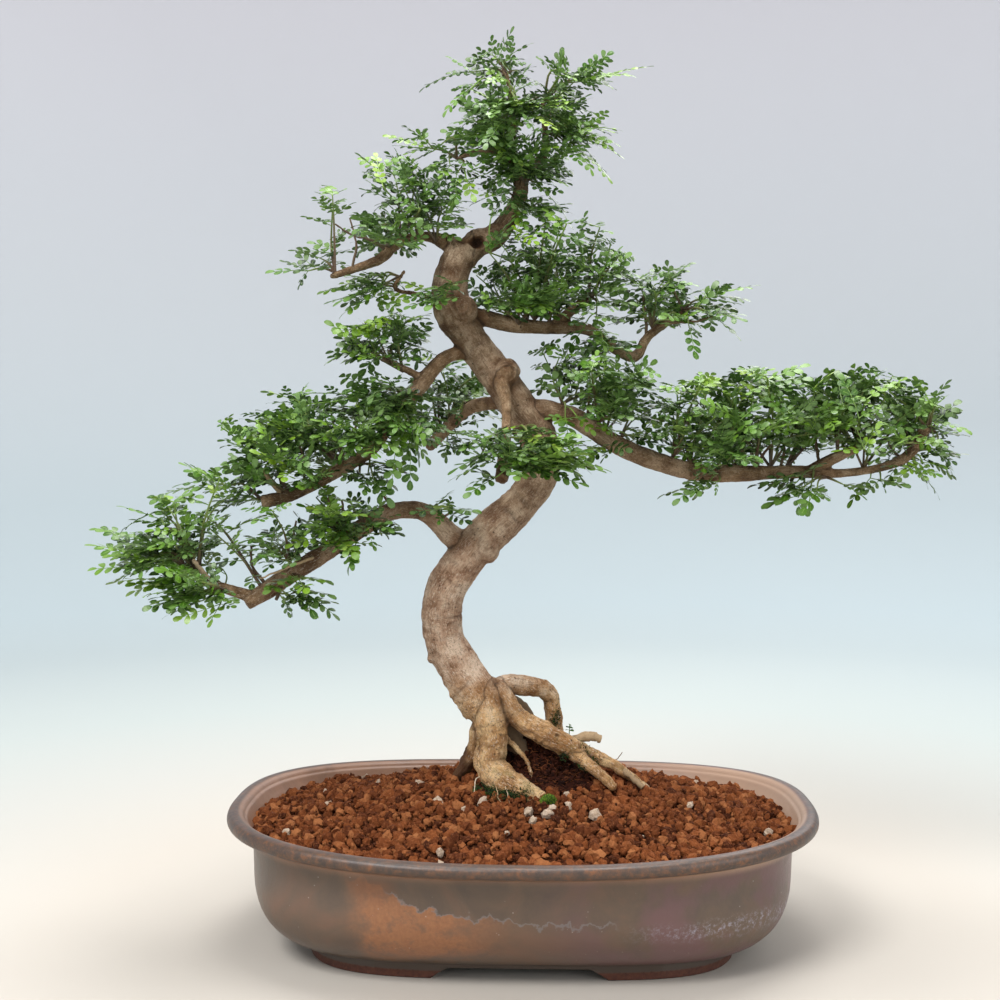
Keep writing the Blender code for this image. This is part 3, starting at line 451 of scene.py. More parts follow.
class Finish:
    """One procedural material. Its coordinates are millimetres from the pot's centre on the ground."""

    def __init__(self, name, roughness):
        self.material = bpy.data.materials.new(name)
        self.material.use_nodes = True
        self.tree = self.material.node_tree
        self.shader = self.tree.nodes["Principled BSDF"]
        self.shader.inputs["Roughness"].default_value = roughness
        place = self.tree.nodes.new("ShaderNodeTexCoord").outputs["Object"]
        shifted = self.node("ShaderNodeVectorMath", "SUBTRACT", [place, CENTRE])
        self.place = self.node("ShaderNodeVectorMath", "DIVIDE", [shifted, (MM, MM, MM)])

    def put(self, socket, value):
        if isinstance(value, bpy.types.NodeSocket):
            self.tree.links.new(value, socket)
        else:
            socket.default_value = value

    def node(self, kind, operation=None, values=(), output=0):
        node = self.tree.nodes.new(kind)
        if operation:
            node.operation = operation
        for socket, value in zip(node.inputs, values):
            self.put(socket, value)
        return node.outputs[output]

    def maths(self, operation, first, second=0.0):
        return self.node("ShaderNodeMath", operation, [first, second])

    def noise(self, size, detail=4, rough=0.55, stretch=(1, 1, 1), warp=0.0, place=None):
        """Cloudy noise whose features are about size millimetres, longer along an axis by stretch."""
        node = self.tree.nodes.new("ShaderNodeTexNoise")
        sizes = [size * share for share in stretch]
        place = self.node("ShaderNodeVectorMath", "DIVIDE", [place or self.place, sizes])
        self.put(node.inputs["Vector"], place)
        node.inputs["Scale"].default_value = 1
        node.inputs["Detail"].default_value = detail
        node.inputs["Roughness"].default_value = rough
        node.inputs["Distortion"].default_value = warp
        return node.outputs["Fac"]

    def cells(self, size, spread=1.0, stretch=(1, 1, 1), place=None):
        """Distance to the nearest of scattered points about size millimetres apart."""
        node = self.tree.nodes.new("ShaderNodeTexVoronoi")
        sizes = [size * share for share in stretch]
        place = self.node("ShaderNodeVectorMath", "DIVIDE", [place or self.place, sizes])
        self.put(node.inputs["Vector"], place)
        node.inputs["Scale"].default_value = 1
        node.inputs["Randomness"].default_value = spread
        return node.outputs["Distance"]

    def rise(self, value, low, high):
        """0 below low and 1 above high, or the other way round where low is the larger."""
        node = self.tree.nodes.new("ShaderNodeMapRange")
        node.interpolation_type = "SMOOTHSTEP"
        flip = low > high
        self.put(node.inputs["Value"], value)
        node.inputs["From Min"].default_value = min(low, high)
        node.inputs["From Max"].default_value = max(low, high)
        node.inputs["To Min"].default_value = 1 if flip else 0
        node.inputs["To Max"].default_value = 0 if flip else 1
        return node.outputs["Result"]

    def mix(self, share, first, second, blend="MIX"):
        node = self.tree.nodes.new("ShaderNodeMix")
        node.data_type = "RGBA"
        node.blend_type = blend
        self.put(node.inputs["Factor"], share)
        self.put(node.inputs[6], first)
        self.put(node.inputs[7], second)
        return node.outputs[2]

    def ramp(self, value, stops):
        node = self.tree.nodes.new("ShaderNodeValToRGB")
        self.put(node.inputs["Fac"], value)
        line = node.color_ramp.elements
        while len(line) < len(stops):
            line.new(0.5)
        for element, (position, colour) in zip(line, stops):
            element.position = position
            element.color = colour
        return node.outputs["Color"]

    def axes(self):
        node = self.tree.nodes.new("ShaderNodeSeparateXYZ")
        self.put(node.inputs[0], self.place)
        return node.outputs

    def curve(self, value, span, out, points):
        """A smooth curve through (value, result) points, over this span of values and of results."""
        node = self.tree.nodes.new("ShaderNodeMapRange")
        self.put(node.inputs["Value"], value)
        node.inputs["From Min"].default_value = span[0]
        node.inputs["From Max"].default_value = span[1]
        bend = self.tree.nodes.new("ShaderNodeFloatCurve")
        self.put(bend.inputs["Value"], node.outputs["Result"])
        line = bend.mapping.curves[0].points
        while len(line) < len(points):
            line.new(0.5, 0.5)
        for spot, (start, end) in zip(line, points):
            spot.location = ((start - span[0]) / (span[1] - span[0]), (end - out[0]) / (out[1] - out[0]))
        bend.mapping.update()
        return self.maths("ADD", self.maths("MULTIPLY", bend.outputs["Value"], out[1] - out[0]), out[0])

    def inward(self, x, y):
        """How many millimetres in from the top of the rim's bead a point lies, in the oval's plan."""
        half_x = POT_LENGTH / 2 - RIM_BEAD_INSET
        half_y = POT_WIDTH / 2 - RIM_BEAD_INSET
        along = self.maths("POWER", self.maths("ABSOLUTE", self.maths("DIVIDE", x, half_x)), OVAL_EXPONENT)
        aside = self.maths("POWER", self.maths("ABSOLUTE", self.maths("DIVIDE", y, half_y)), OVAL_EXPONENT)
        reach = self.maths("POWER", self.maths("ADD", along, aside), 1 / OVAL_EXPONENT)
        return self.maths("MULTIPLY", self.maths("SUBTRACT", 1, reach), half_y)

    def pointing(self):
        """How far up the surface faces, from -1 to 1."""
        way = self.tree.nodes.new("ShaderNodeTexCoord").outputs["Normal"]
        node = self.tree.nodes.new("ShaderNodeSeparateXYZ")
        self.put(node.inputs[0], way)
        return node.outputs[2]

    def attribute(self, name):
        node = self.tree.nodes.new("ShaderNodeAttribute")
        node.attribute_name = name
        return node.outputs

    def shades(self):
        """The red, green, blue and alpha of the mesh's own shade attribute."""
        shade = self.attribute("shade")
        split = self.tree.nodes.new("ShaderNodeSeparateColor")
        self.put(split.inputs[0], shade["Color"])
        return (*split.outputs[:3], shade["Alpha"])

    def bump(self, layers):
        """Relief from (height, depth in millimetres) pairs, one on the other."""
        normal = None
        for height, depth in layers:
            node = self.tree.nodes.new("ShaderNodeBump")
            node.inputs["Distance"].default_value = depth * MM
            self.put(node.inputs["Height"], height)
            if normal:
                self.put(node.inputs["Normal"], normal)
            normal = node.outputs["Normal"]
        self.put(self.shader.inputs["Normal"], normal)

    def colour(self, value):
        self.put(self.shader.inputs["Base Color"], value)

    def gloss(self, value):
        self.put(self.shader.inputs["Roughness"], value)


def glaze_finish():
    """Grey-brown glaze with a rust flush under a scalloped run line, frosty specks and a bare foot, a painted highlight
    on the lip's crest and painted shade on the recessed ledge above the foot.
    """
    look = Finish("glaze", 0.4)
    x, y, z = look.axes()
    cloud = look.noise(30, 5, 0.6, warp=0.6)
    fine = look.noise(2.4, 6, 0.7)
    grey = look.ramp(cloud, [(0.32, paint(84, 70, 60)), (0.5, paint(96, 78, 64)), (0.68, paint(108, 82, 66))])
    purple = look.maths("MULTIPLY", look.rise(x, 0, 70), look.rise(look.noise(40, 3), 0.4, 0.58))
    body = look.mix(purple, grey, paint(104, 76, 74))

    front = look.rise(y, -30, -70)
    trend = look.curve(x, (-110, 90), (30, 80), [
        (-110, 70), (-97, 68), (-82, 64), (-76, 60), (-62, 54.5), (-45, 50.5), (-20, 48.5), (10, 46), (54, 45), (90, 42),
    ])
    scallops = look.maths("ABSOLUTE", look.maths("SINE", look.maths("MULTIPLY", look.maths("ADD", x, 5), math.pi / 11.5)))
    wander = look.maths("MULTIPLY", look.maths("SUBTRACT", look.noise(7, 3), 0.5), 5)
    depth = look.maths("ADD", look.maths("MULTIPLY", scallops, look.rise(x, -66, -52)), wander)
    line = look.maths("SUBTRACT", trend, look.maths("MULTIPLY", depth, 3.2))
    below = look.rise(look.maths("SUBTRACT", line, z), -0.8, 0.8)
    left = look.rise(look.maths("ADD", x, look.maths("MULTIPLY", cloud, 24)), -96, -62)
    fade = look.rise(look.maths("ADD", x, look.maths("MULTIPLY", cloud, 60)), 70, -30)
    flush = look.maths("MULTIPLY", look.maths("MULTIPLY", left, fade), look.maths("MULTIPLY", below, front))
    low = look.rise(look.maths("ADD", z, look.maths("MULTIPLY", cloud, 20)), 20, 36)
    strength = look.maths("MULTIPLY", look.rise(x, 20, -60), look.rise(look.noise(11, 5, 0.65), 0.3, 0.6))
    flush = look.maths("MULTIPLY", look.maths("MULTIPLY", flush, low), look.maths("ADD", 0.35, strength))
    rust = look.ramp(fine, [(0.3, paint(132, 86, 58)), (0.65, paint(150, 102, 68))])
    body = look.mix(flush, body, rust)
    spill = look.maths("MULTIPLY", look.maths("MULTIPLY", look.rise(x, -102, -90), look.rise(x, -66, -80)), front)
    spill = look.maths("MULTIPLY", look.maths("MULTIPLY", spill, look.rise(z, 71, 64)), look.rise(z, 50, 62))
    body = look.mix(look.maths("MULTIPLY", spill, 0.55), body, paint(128, 82, 54))
    stroke = look.rise(look.maths("ABSOLUTE", look.maths("SUBTRACT", line, z)), 1.3, 0.2)
    stroke = look.maths("MULTIPLY", look.maths("MULTIPLY", stroke, front), look.maths("MULTIPLY", look.rise(x, -80, -72), look.rise(x, 60, 50)))
    body = look.mix(look.maths("MULTIPLY", stroke, 0.5), body, paint(122, 118, 118))

    band = look.maths("ABSOLUTE", look.maths("SUBTRACT", z, look.maths("ADD", 31, look.maths("MULTIPLY", cloud, 12))))
    band = look.maths("MULTIPLY", look.rise(band, 9, 1), look.rise(x, 50, 110))
    frost = look.maths("MULTIPLY", band, look.rise(look.noise(2.6, 6, 0.8), 0.47, 0.68))
    body = look.mix(look.maths("MULTIPLY", frost, 0.8), body, paint(160, 156, 168))
    specks = look.maths("MULTIPLY", look.rise(look.cells(4.2), 0.13, 0.06), look.rise(look.noise(14, 2), 0.54, 0.62))
    body = look.mix(look.maths("MULTIPLY", specks, 0.5), body, paint(176, 166, 158))

    inner = look.maths("MULTIPLY", look.rise(z, 66, 72), look.rise(look.inward(x, y), 0.0, 2.0))
    tan = look.ramp(cloud, [(0.35, paint(122, 90, 70)), (0.65, paint(148, 110, 86))])
    tan = look.mix(look.rise(x, 60, 160), tan, paint(168, 138, 116))
    body = look.mix(inner, body, tan)
    mottle = look.ramp(look.noise(4.5, 7, 0.75), [(0.4, paint(62, 50, 44)), (0.53, paint(84, 62, 48)), (0.66, paint(120, 76, 46))])
    rim = look.maths("MULTIPLY", look.rise(z, 71.5, 73), look.rise(look.inward(x, y), 1.5, -0.5))
    body = look.mix(rim, body, mottle)
    # Painted highlight: the upward-facing crest of the rim's bead is painted paler, as if lit from above.
    lip_painted_highlight = look.maths("MULTIPLY", rim, look.rise(look.pointing(), 0.82, 0.96))
    body = look.mix(look.maths("MULTIPLY", lip_painted_highlight, 0.3), body, paint(98, 86, 82))

    clay = look.ramp(fine, [(0.3, paint(62, 32, 22)), (0.7, paint(104, 58, 40))])
    # Painted shade: the recessed ledge under the wall, just above the bare foot, is painted dark grey-brown.
    ledge_painted_shade = look.rise(look.maths("ADD", z, look.maths("MULTIPLY", fine, 1.2)), 12.4, 11.6)
    body = look.mix(ledge_painted_shade, body, paint(76, 64, 56))
    foot = look.rise(look.maths("ADD", z, look.maths("MULTIPLY", fine, 2)), 6.6, 5.4)
    body = look.mix(foot, body, clay)
    look.colour(body)
    look.gloss(look.ramp(look.maths("ADD", look.maths("MULTIPLY", foot, 0.45), look.maths("MULTIPLY", cloud, 0.5)),
                         [(0.1, (0.3, 0.3, 0.3, 1)), (0.9, (0.8, 0.8, 0.8, 1))]))
    look.bump([(look.noise(22, 3), 0.5), (fine, 0.1)])
    return look.material


def bark_finish():
    """Grey-tan bark with fine pale flecks and dark lines along each limb, ochre and rougher on the roots, painted
    darker higher up as shade under the foliage, with painted shade in creases, broad hollows and inside the hollow.
    """
    look = Finish("bark", 0.8)
    x, y, z = look.axes()
    limb = look.attribute("limb")["Vector"]
    crease_shade, joint_shade, dark, thick = look.shades()
    patches = look.noise(15, 5, 0.6)
    trunk = look.ramp(patches, [(0.38, paint(140, 102, 76)), (0.5, paint(190, 154, 126)), (0.61, paint(220, 192, 166))])
    upper = look.ramp(patches, [(0.38, paint(96, 70, 48)), (0.5, paint(146, 119, 92)), (0.61, paint(184, 158, 130))])
    twiggy = look.ramp(patches, [(0.38, paint(92, 66, 42)), (0.5, paint(140, 110, 78)), (0.61, paint(172, 142, 110))])
    root = look.ramp(patches, [(0.38, paint(160, 112, 64)), (0.5, paint(206, 160, 108)), (0.61, paint(232, 194, 142))])
    height = look.maths("ADD", z, look.maths("MULTIPLY", patches, 60))
    # Painted shade: the bark above about 250 to 330 mm is painted darker, as if in the shade of the foliage.
    bark = look.mix(look.rise(height, 250, 330), trunk, upper)
    bark = look.mix(look.rise(thick, 0.75, 0.3), bark, twiggy)
    rootward = look.rise(height, 205, 172)
    bark = look.mix(rootward, bark, root)

    strands = look.noise(1.3, 5, 0.7, stretch=(1, 1, 6), place=limb)
    flecks = look.noise(0.85, 3, 0.6, stretch=(1, 1, 2.6), place=limb)
    rings = look.noise(1.1, 4, 0.65, stretch=(3.2, 3.2, 0.6), place=limb)
    grit = look.noise(1.1, 5, 0.75, place=limb)
    depth = look.maths("ADD", 0.5, look.maths("MULTIPLY", rootward, 0.25))
    bark = look.mix(look.maths("MULTIPLY", look.rise(strands, 0.47, 0.33), depth), bark, paint(84, 58, 34))
    bark = look.mix(look.maths("MULTIPLY", look.rise(strands, 0.55, 0.68), 0.4), bark, paint(216, 194, 160))
    bark = look.mix(look.maths("MULTIPLY", look.rise(grit, 0.46, 0.34), 0.45), bark, paint(96, 68, 44))
    bark = look.mix(look.maths("MULTIPLY", look.rise(grit, 0.54, 0.66), 0.3), bark, paint(222, 202, 176))
    ringed = look.maths("MULTIPLY", look.rise(rings, 0.54, 0.64), look.rise(look.noise(17, 2), 0.38, 0.56))
    ringed = look.maths("MULTIPLY", ringed, look.maths("ADD", 0.5, look.maths("MULTIPLY", rootward, 0.3)))
    bark = look.mix(ringed, bark, paint(88, 62, 40))
    bark = look.mix(look.maths("MULTIPLY", look.rise(flecks, 0.45, 0.32), 0.5), bark, paint(92, 66, 44))
    pale = look.maths("MULTIPLY", look.rise(flecks, 0.56, 0.66), look.rise(look.noise(9, 3), 0.34, 0.54))
    pale = look.maths("MULTIPLY", pale, look.rise(height, 360, 200))
    bark = look.mix(look.maths("MULTIPLY", pale, 0.7), bark, paint(230, 214, 194))
    pits = look.maths("MULTIPLY", look.rise(look.cells(5.5), 0.17, 0.08), look.rise(look.noise(12, 2), 0.48, 0.56))
    bark = look.mix(look.maths("MULTIPLY", pits, 0.75), bark, paint(58, 40, 28))

    # Painted shade: reddish brown over broad hollows, ring grooves and knot swirls.
    bark = look.mix(look.maths("MULTIPLY", joint_shade, 0.6), bark, paint(116, 80, 50))
    # Painted shade: dark brown in creases and folds.
    bark = look.mix(look.maths("MULTIPLY", crease_shade, 0.85), bark, paint(52, 36, 24))
    # Dark wound middles and soil stain on the buried roots are the bark's own; the dark inside the hollow is painted
    # shade.
    bark = look.mix(look.rise(dark, 0.0, 0.5), bark, look.mix(look.rise(dark, 0.5, 1), paint(92, 60, 36), paint(34, 22, 15)))
    algae = look.maths("MULTIPLY", look.rise(look.noise(10, 4), 0.5, 0.66), look.rise(height, 172, 140))
    bark = look.mix(look.maths("MULTIPLY", algae, 0.4), bark, paint(84, 84, 34))
    look.colour(bark)
    look.shader.inputs["Specular IOR Level"].default_value = 0.3
    look.bump([(strands, 1.4), (grit, 0.9), (rings, 0.8), (flecks, 0.6)])
    return look.material


def twig_finish():
    """Dead twigs and cut spurs, from dark brown to pale bone."""
    look = Finish("twig", 0.8)
    pale = look.shades()[0]
    grain = look.noise(1.2, 4, 0.7)
    wood = look.ramp(pale, [
        (0.0, paint(60, 46, 34)), (0.35, paint(112, 90, 64)), (0.7, paint(176, 148, 112)), (1.0, paint(214, 200, 178)),
    ])
    look.colour(look.mix(look.maths("MULTIPLY", look.rise(grain, 0.5, 0.3), 0.5), wood, paint(62, 46, 32)))
    look.bump([(grain, 0.3)])
    return look.material


def leaf_finish():
    """Glossy leaflets with a light midrib and a pale rim painted as an edge highlight, duller beneath, yellow-green
    where young and painted darker as shade deep in a spray.
    """
    look = Finish("leaf", 0.3)
    across, tint, youth = look.shades()[:3]
    # The tint runs from near-black green, painted shade for leaves deep in a spray, to pale green; it also varies at
    # random from leaf to leaf.
    mature = look.ramp(tint, [
        (0.0, paint(6, 20, 1)), (0.3, paint(28, 60, 5)), (0.6, paint(62, 102, 16)), (0.85, paint(104, 142, 32)),
        (1.0, paint(146, 172, 58)),
    ])
    young = look.ramp(tint, [(0.0, paint(98, 140, 16)), (1.0, paint(146, 176, 34))])
    blade = look.mix(youth, mature, young)
    veins = look.noise(1.3, 4, 0.6)
    blade = look.mix(look.maths("MULTIPLY", look.rise(veins, 0.45, 0.7), 0.25), blade, paint(110, 150, 70))
    beneath = look.rise(look.pointing(), 0.05, -0.25)
    blade = look.mix(look.maths("MULTIPLY", beneath, 0.45), blade, paint(104, 132, 72))
    rib = look.rise(across, 0.16, 0.02)
    blade = look.mix(look.maths("MULTIPLY", rib, 0.55), blade, paint(136, 168, 80))
    # Painted highlight: a pale band along each leaflet's edge stands in for the gloss on its curved margin.
    rim = look.rise(across, 0.88, 1.0)
    blade = look.mix(look.maths("MULTIPLY", rim, 0.4), blade, paint(130, 160, 92))
    look.colour(blade)
    look.gloss(look.ramp(beneath, [(0.0, (0.34, 0.34, 0.34, 1)), (1.0, (0.65, 0.65, 0.65, 1))]))
    look.shader.inputs["Specular IOR Level"].default_value = 0.42
    look.shader.inputs["Coat Weight"].default_value = 0.1
    look.shader.inputs["Coat Roughness"].default_value = 0.32
    look.bump([(veins, 0.12)])
    return look.material


def shoot_finish():
    """Green young shoots that turn brown at their feet."""
    look = Finish("shoot", 0.6)
    age = look.shades()[0]
    shoot = look.ramp(age, [(0.0, paint(116, 150, 52)), (0.45, paint(108, 118, 58)), (0.75, paint(92, 70, 50)), (1.0, paint(84, 62, 46))])
    look.colour(look.mix(look.maths("MULTIPLY", look.noise(2, 3), 0.3), shoot, paint(60, 48, 34)))
    look.bump([(look.noise(1.2, 3), 0.2)])
    return look.material


def soil_finish():
    """Fired clay granules from dark to orange-brown, cream pumice and dark red peat."""
    look = Finish("soil", 0.95)
    tint, pale, peat = look.shades()[:3]
    grain = look.ramp(tint, [
        (0.0, paint(60, 28, 14)), (0.25, paint(96, 50, 26)), (0.7, paint(126, 70, 37)), (1.0, paint(160, 102, 62)),
    ])
    cloud = look.noise(1.5, 5, 0.75)
    grain = look.mix(look.maths("MULTIPLY", look.rise(cloud, 0.5, 0.7), 0.55), grain, paint(174, 112, 72))
    grain = look.mix(look.maths("MULTIPLY", look.rise(cloud, 0.48, 0.3), 0.65), grain, paint(48, 20, 8))
    grain = look.mix(peat, grain, look.ramp(tint, [(0.0, paint(28, 12, 8)), (0.7, paint(66, 32, 20)), (1.0, paint(128, 76, 44))]))
    grain = look.mix(pale, grain, look.ramp(cloud, [(0.3, paint(158, 130, 102)), (0.7, paint(222, 204, 184))]))
    look.colour(grain)
    look.shader.inputs["Specular IOR Level"].default_value = 0.12
    look.bump([(cloud, 0.8), (look.noise(0.5, 3), 0.3)])
    return look.material


def moss_finish():
    look = Finish("moss", 0.9)
    tint = look.shades()[0]
    look.colour(look.ramp(tint, [(0.0, paint(18, 34, 10)), (0.6, paint(60, 92, 18)), (1.0, paint(126, 156, 34))]))
    return look.material


def plastic_finish():
    look = Finish("plastic", 0.5)
    look.colour(look.ramp(look.noise(2, 3), [(0.3, paint(18, 18, 19)), (0.7, paint(34, 34, 36))]))
    look.bump([(look.noise(0.6, 3), 0.05)])
    return look.material


def floor_finish():
    """Cream under the pot, pale cyan further out and lavender up the backdrop."""
    look = Finish("floor", 0.85)
    x, y, z = look.axes()
    away = look.maths("SQRT", look.maths("ADD", look.maths("MULTIPLY", x, x), look.maths("MULTIPLY", y, y)))
    look.colour(look.ramp(look.maths("DIVIDE", look.maths("ADD", away, z), 4000), [
        (0.08, (0.52, 0.48, 0.425, 1)), (0.13, (0.5, 0.495, 0.46, 1)), (0.2, (0.48, 0.52, 0.5, 1)),
        (0.4, (0.475, 0.545, 0.565, 1)), (0.52, (0.47, 0.53, 0.55, 1)), (0.7, (0.55, 0.57, 0.59, 1)),
        (0.88, (0.64, 0.62, 0.65, 1)),
    ]))
    look.shader.inputs["Specular IOR Level"].default_value = 0.1
    return look.material


class Shape:
    """Points, triangles and shades that are gathered and become one object."""

    def __init__(self):
        self.points = []
        self.faces = []
        self.shades = []
        self.finishes = []
        self.count = 0

    def add(self, points, faces, shades, finish=0):
        self.points.append(points)
        self.faces.append(np.asarray(faces) + self.count)
        self.shades.append(np.broadcast_to(shades, (len(points), 3)))
        self.finishes.append(np.full(len(faces), finish))
        self.count += len(points)

    def mesh(self, name):
        points = np.concatenate(self.points) * MM + np.array(CENTRE)
        mesh = bpy.data.meshes.new(name)
        mesh.from_pydata(points.tolist(), [], np.concatenate(self.faces).tolist())
        return mesh

    def make(self, name, materials, slot, replaced=(), sharp=None):
        """The object itself, smooth but for edges sharper than sharp degrees."""
        mesh = self.mesh(name)
        shades = np.concatenate(self.shades)
        layer = mesh.attributes.new("shade", "FLOAT_COLOR", "POINT")
        layer.data.foreach_set("color", np.column_stack((shades, np.ones(len(shades)))).ravel())
        for material in materials:
            mesh.materials.append(material)
        mesh.polygons.foreach_set("material_index", np.concatenate(self.finishes).astype(np.int32))
        return show(name, mesh, replaced, sharp)


def show(name, mesh, replaced=(), sharp=None):
    """Links a mesh as a piece that rides on the body and stands for these nodes."""
    mesh.shade_smooth()
    if sharp:
        mesh.set_sharp_from_angle(angle=math.radians(sharp))
    piece = bpy.data.objects.new(name, mesh)
    bpy.context.scene.collection.objects.link(piece)
    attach(piece, "root")
    if replaced:
        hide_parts(*replaced)
    return piece


def cad_points(node):
    mesh = frame["nodes"][node].data
    points = np.empty(3 * len(mesh.vertices))
    mesh.vertices.foreach_get("co", points)
    return (points.reshape(-1, 3) - np.array(CENTRE)) / MM


def cad_tree(node):
    faces = [tuple(face.vertices) for face in frame["nodes"][node].data.polygons]
    return BVHTree.FromPolygons(cad_points(node).tolist(), faces)


def unit(vector):
    return vector / max(np.linalg.norm(vector), 1e-9)


def tube(points, radii, sides):
    """A closed tapered tube through points: its own points and triangles."""
    points = np.asarray(points, float)
    tangents = np.gradient(points, axis=0)
    side = unit(np.cross(tangents[0], (0.3, 0.5, 1.0)))
    rings = []
    for point, tangent, radius in zip(points, tangents, radii):
        tangent = unit(tangent)
        side = unit(side - tangent * (side @ tangent))
        up = np.cross(tangent, side)
        turns = 2 * math.pi * np.arange(sides) / sides
        rings.append(point + radius * (np.outer(np.cos(turns), side) + np.outer(np.sin(turns), up)))
    made = np.concatenate(rings + [points[:1], points[-1:]])
    faces = []
    start, end = len(made) - 2, len(made) - 1
    last = (len(points) - 1) * sides
    for i in range(sides):
        j = (i + 1) % sides
        faces.append((start, j, i))
        faces.append((end, last + i, last + j))
        for ring in range(0, last, sides):
            faces.append((ring + i, ring + j, ring + sides + j))
            faces.append((ring + i, ring + sides + j, ring + sides + i))
    return made, np.array(faces)


def curve_through(points, steps):
    """A smooth line through these points, with steps pieces between each two."""
    points = np.asarray(points, float)
    padded = np.concatenate(([2 * points[0] - points[1]], points, [2 * points[-1] - points[-2]]))
    line = []
    for a, b, c, d in zip(padded, padded[1:], padded[2:], padded[3:]):
        for step in range(steps):
            t = step / steps
            line.append(0.5 * (2 * b + (c - a) * t + (2 * a - 5 * b + 4 * c - d) * t ** 2 + (3 * b - a - 3 * c + d) * t ** 3))
    line.append(points[-1])
    return np.array(line)


def between(value, low, high):
    return min(1, max(0, (value - low) / (high - low)))


def oval_ring(inset, height):
    """Points round the pot's plan at this distance in from the rim.

    The rim rises to its ends, the lower wall is squarer in plan, and the foot stands further in at its ends.
    """
    half_length = POT_LENGTH / 2 - inset - (FOOT_END_INSET if height < WALL_PROFILE[0][1] else 0)
    half_width = POT_WIDTH / 2 - inset
    rise = RIM_RISE * max(0, height - RISE_STARTS_AT) / (POT_HEIGHT - RISE_STARTS_AT)
    exponent = OVAL_EXPONENT + (FOOT_EXPONENT - OVAL_EXPONENT) * max(0, 1 - height / SQUARER_BELOW)
    ring = []
    for step in range(OVAL_SEGMENTS):
        angle = 2 * math.pi * step / OVAL_SEGMENTS
        c, s = math.cos(angle), math.sin(angle)
        u = math.copysign(abs(c) ** (2 / OVAL_EXPONENT), c)
        v = math.copysign(abs(s) ** (2 / OVAL_EXPONENT), s)
        reach = (abs(u) ** exponent + abs(v) ** exponent) ** (-1 / exponent)
        x = half_length * reach * u
        y = half_width * reach * v
        notch = max(
            between(FOOT_NOTCH_HALF_LENGTH - abs(x), 0, FOOT_NOTCH_SLOPE),
            between(FOOT_NOTCH_HALF_WIDTH - abs(y), 0, FOOT_NOTCH_SLOPE),
        )
        lifted = max(height, FOOT_NOTCH_HEIGHT * notch) if height < FOOT_NOTCH_HEIGHT else height
        ring.append((x, y, lifted + rise * (2 * x / POT_LENGTH) ** 2))
    return ring


def build_pot(glaze):
    profile = FOOT_PROFILE + [tuple(point) for point in curve_through(WALL_PROFILE, WALL_STEPS)]
    bm = bmesh.new()
    rings = [[bm.verts.new(point) for point in oval_ring(inset, height)] for inset, height in profile]
    for low, high in zip(rings, rings[1:]):
        for i in range(OVAL_SEGMENTS):
            j = (i + 1) % OVAL_SEGMENTS
            bm.faces.new((low[i], low[j], high[j], high[i]))
    bm.faces.new(rings[0])
    bm.faces.new(rings[-1])
    bmesh.ops.scale(bm, vec=(MM, MM, MM), verts=bm.verts)
    bmesh.ops.translate(bm, vec=CENTRE, verts=bm.verts)
    bmesh.ops.recalc_face_normals(bm, faces=bm.faces)
    mesh = bpy.data.meshes.new("glazed_pot")
    bm.to_mesh(mesh)
    bm.free()
    mesh.materials.append(glaze)
    pot = bpy.data.objects.new("glazed_pot", mesh)
    bpy.context.scene.collection.objects.link(pot)
    drains = []
    for side in (-1, 1):
        bm = bmesh.new()
        bmesh.ops.create_cone(
            bm, cap_ends=True, segments=48, depth=3 * FLOOR_HEIGHT * MM,
            radius1=DRAIN_RADIUS * MM, radius2=DRAIN_RADIUS * MM,
        )
        bmesh.ops.translate(bm, vec=CENTRE + Vector((side * DRAIN_OFFSET, 0, FLOOR_HEIGHT)) * MM, verts=bm.verts)
        drill_mesh = bpy.data.meshes.new("drill")
        bm.to_mesh(drill_mesh)
        bm.free()
        drill = bpy.data.objects.new("drill", drill_mesh)
        bpy.context.scene.collection.objects.link(drill)
        cut = pot.modifiers.new("drain", "BOOLEAN")
        cut.operation = "DIFFERENCE"
        cut.object = drill
        drains.append(drill)
    finished = evaluated(pot)
    for obj in (pot, *drains):
        bpy.data.objects.remove(obj)
    show("glazed_pot", finished, ["pot"], sharp=38)


def evaluated(obj):
    graph = bpy.context.evaluated_depsgraph_get()
    return bpy.data.meshes.new_from_object(obj.evaluated_get(graph))


def build_screen(node, plastic):
    """A fine square mesh in place of a drainage screen."""
    low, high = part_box(node)
    size = high.x - low.x
    bm = bmesh.new()
    bmesh.ops.create_grid(bm, x_segments=SCREEN_CELLS, y_segments=SCREEN_CELLS, size=size / 2)
    cells = list(bm.faces)
    bmesh.ops.inset_individual(bm, faces=cells, thickness=SCREEN_BAR * MM / 2)
    bmesh.ops.delete(bm, geom=cells, context="FACES")
    bars = bmesh.ops.extrude_face_region(bm, geom=list(bm.faces), use_keep_orig=True)
    raised = [item for item in bars["geom"] if isinstance(item, bmesh.types.BMVert)]
    bmesh.ops.translate(bm, vec=(0, 0, high.z - low.z), verts=raised)
    bmesh.ops.translate(bm, vec=((low.x + high.x) / 2, (low.y + high.y) / 2, low.z), verts=bm.verts)
    bmesh.ops.recalc_face_normals(bm, faces=bm.faces)
    mesh = bpy.data.meshes.new(node + "_fine")
    bm.to_mesh(mesh)
    bm.free()
    mesh.materials.append(plastic)
    show(node + "_fine", mesh, [node], sharp=30)


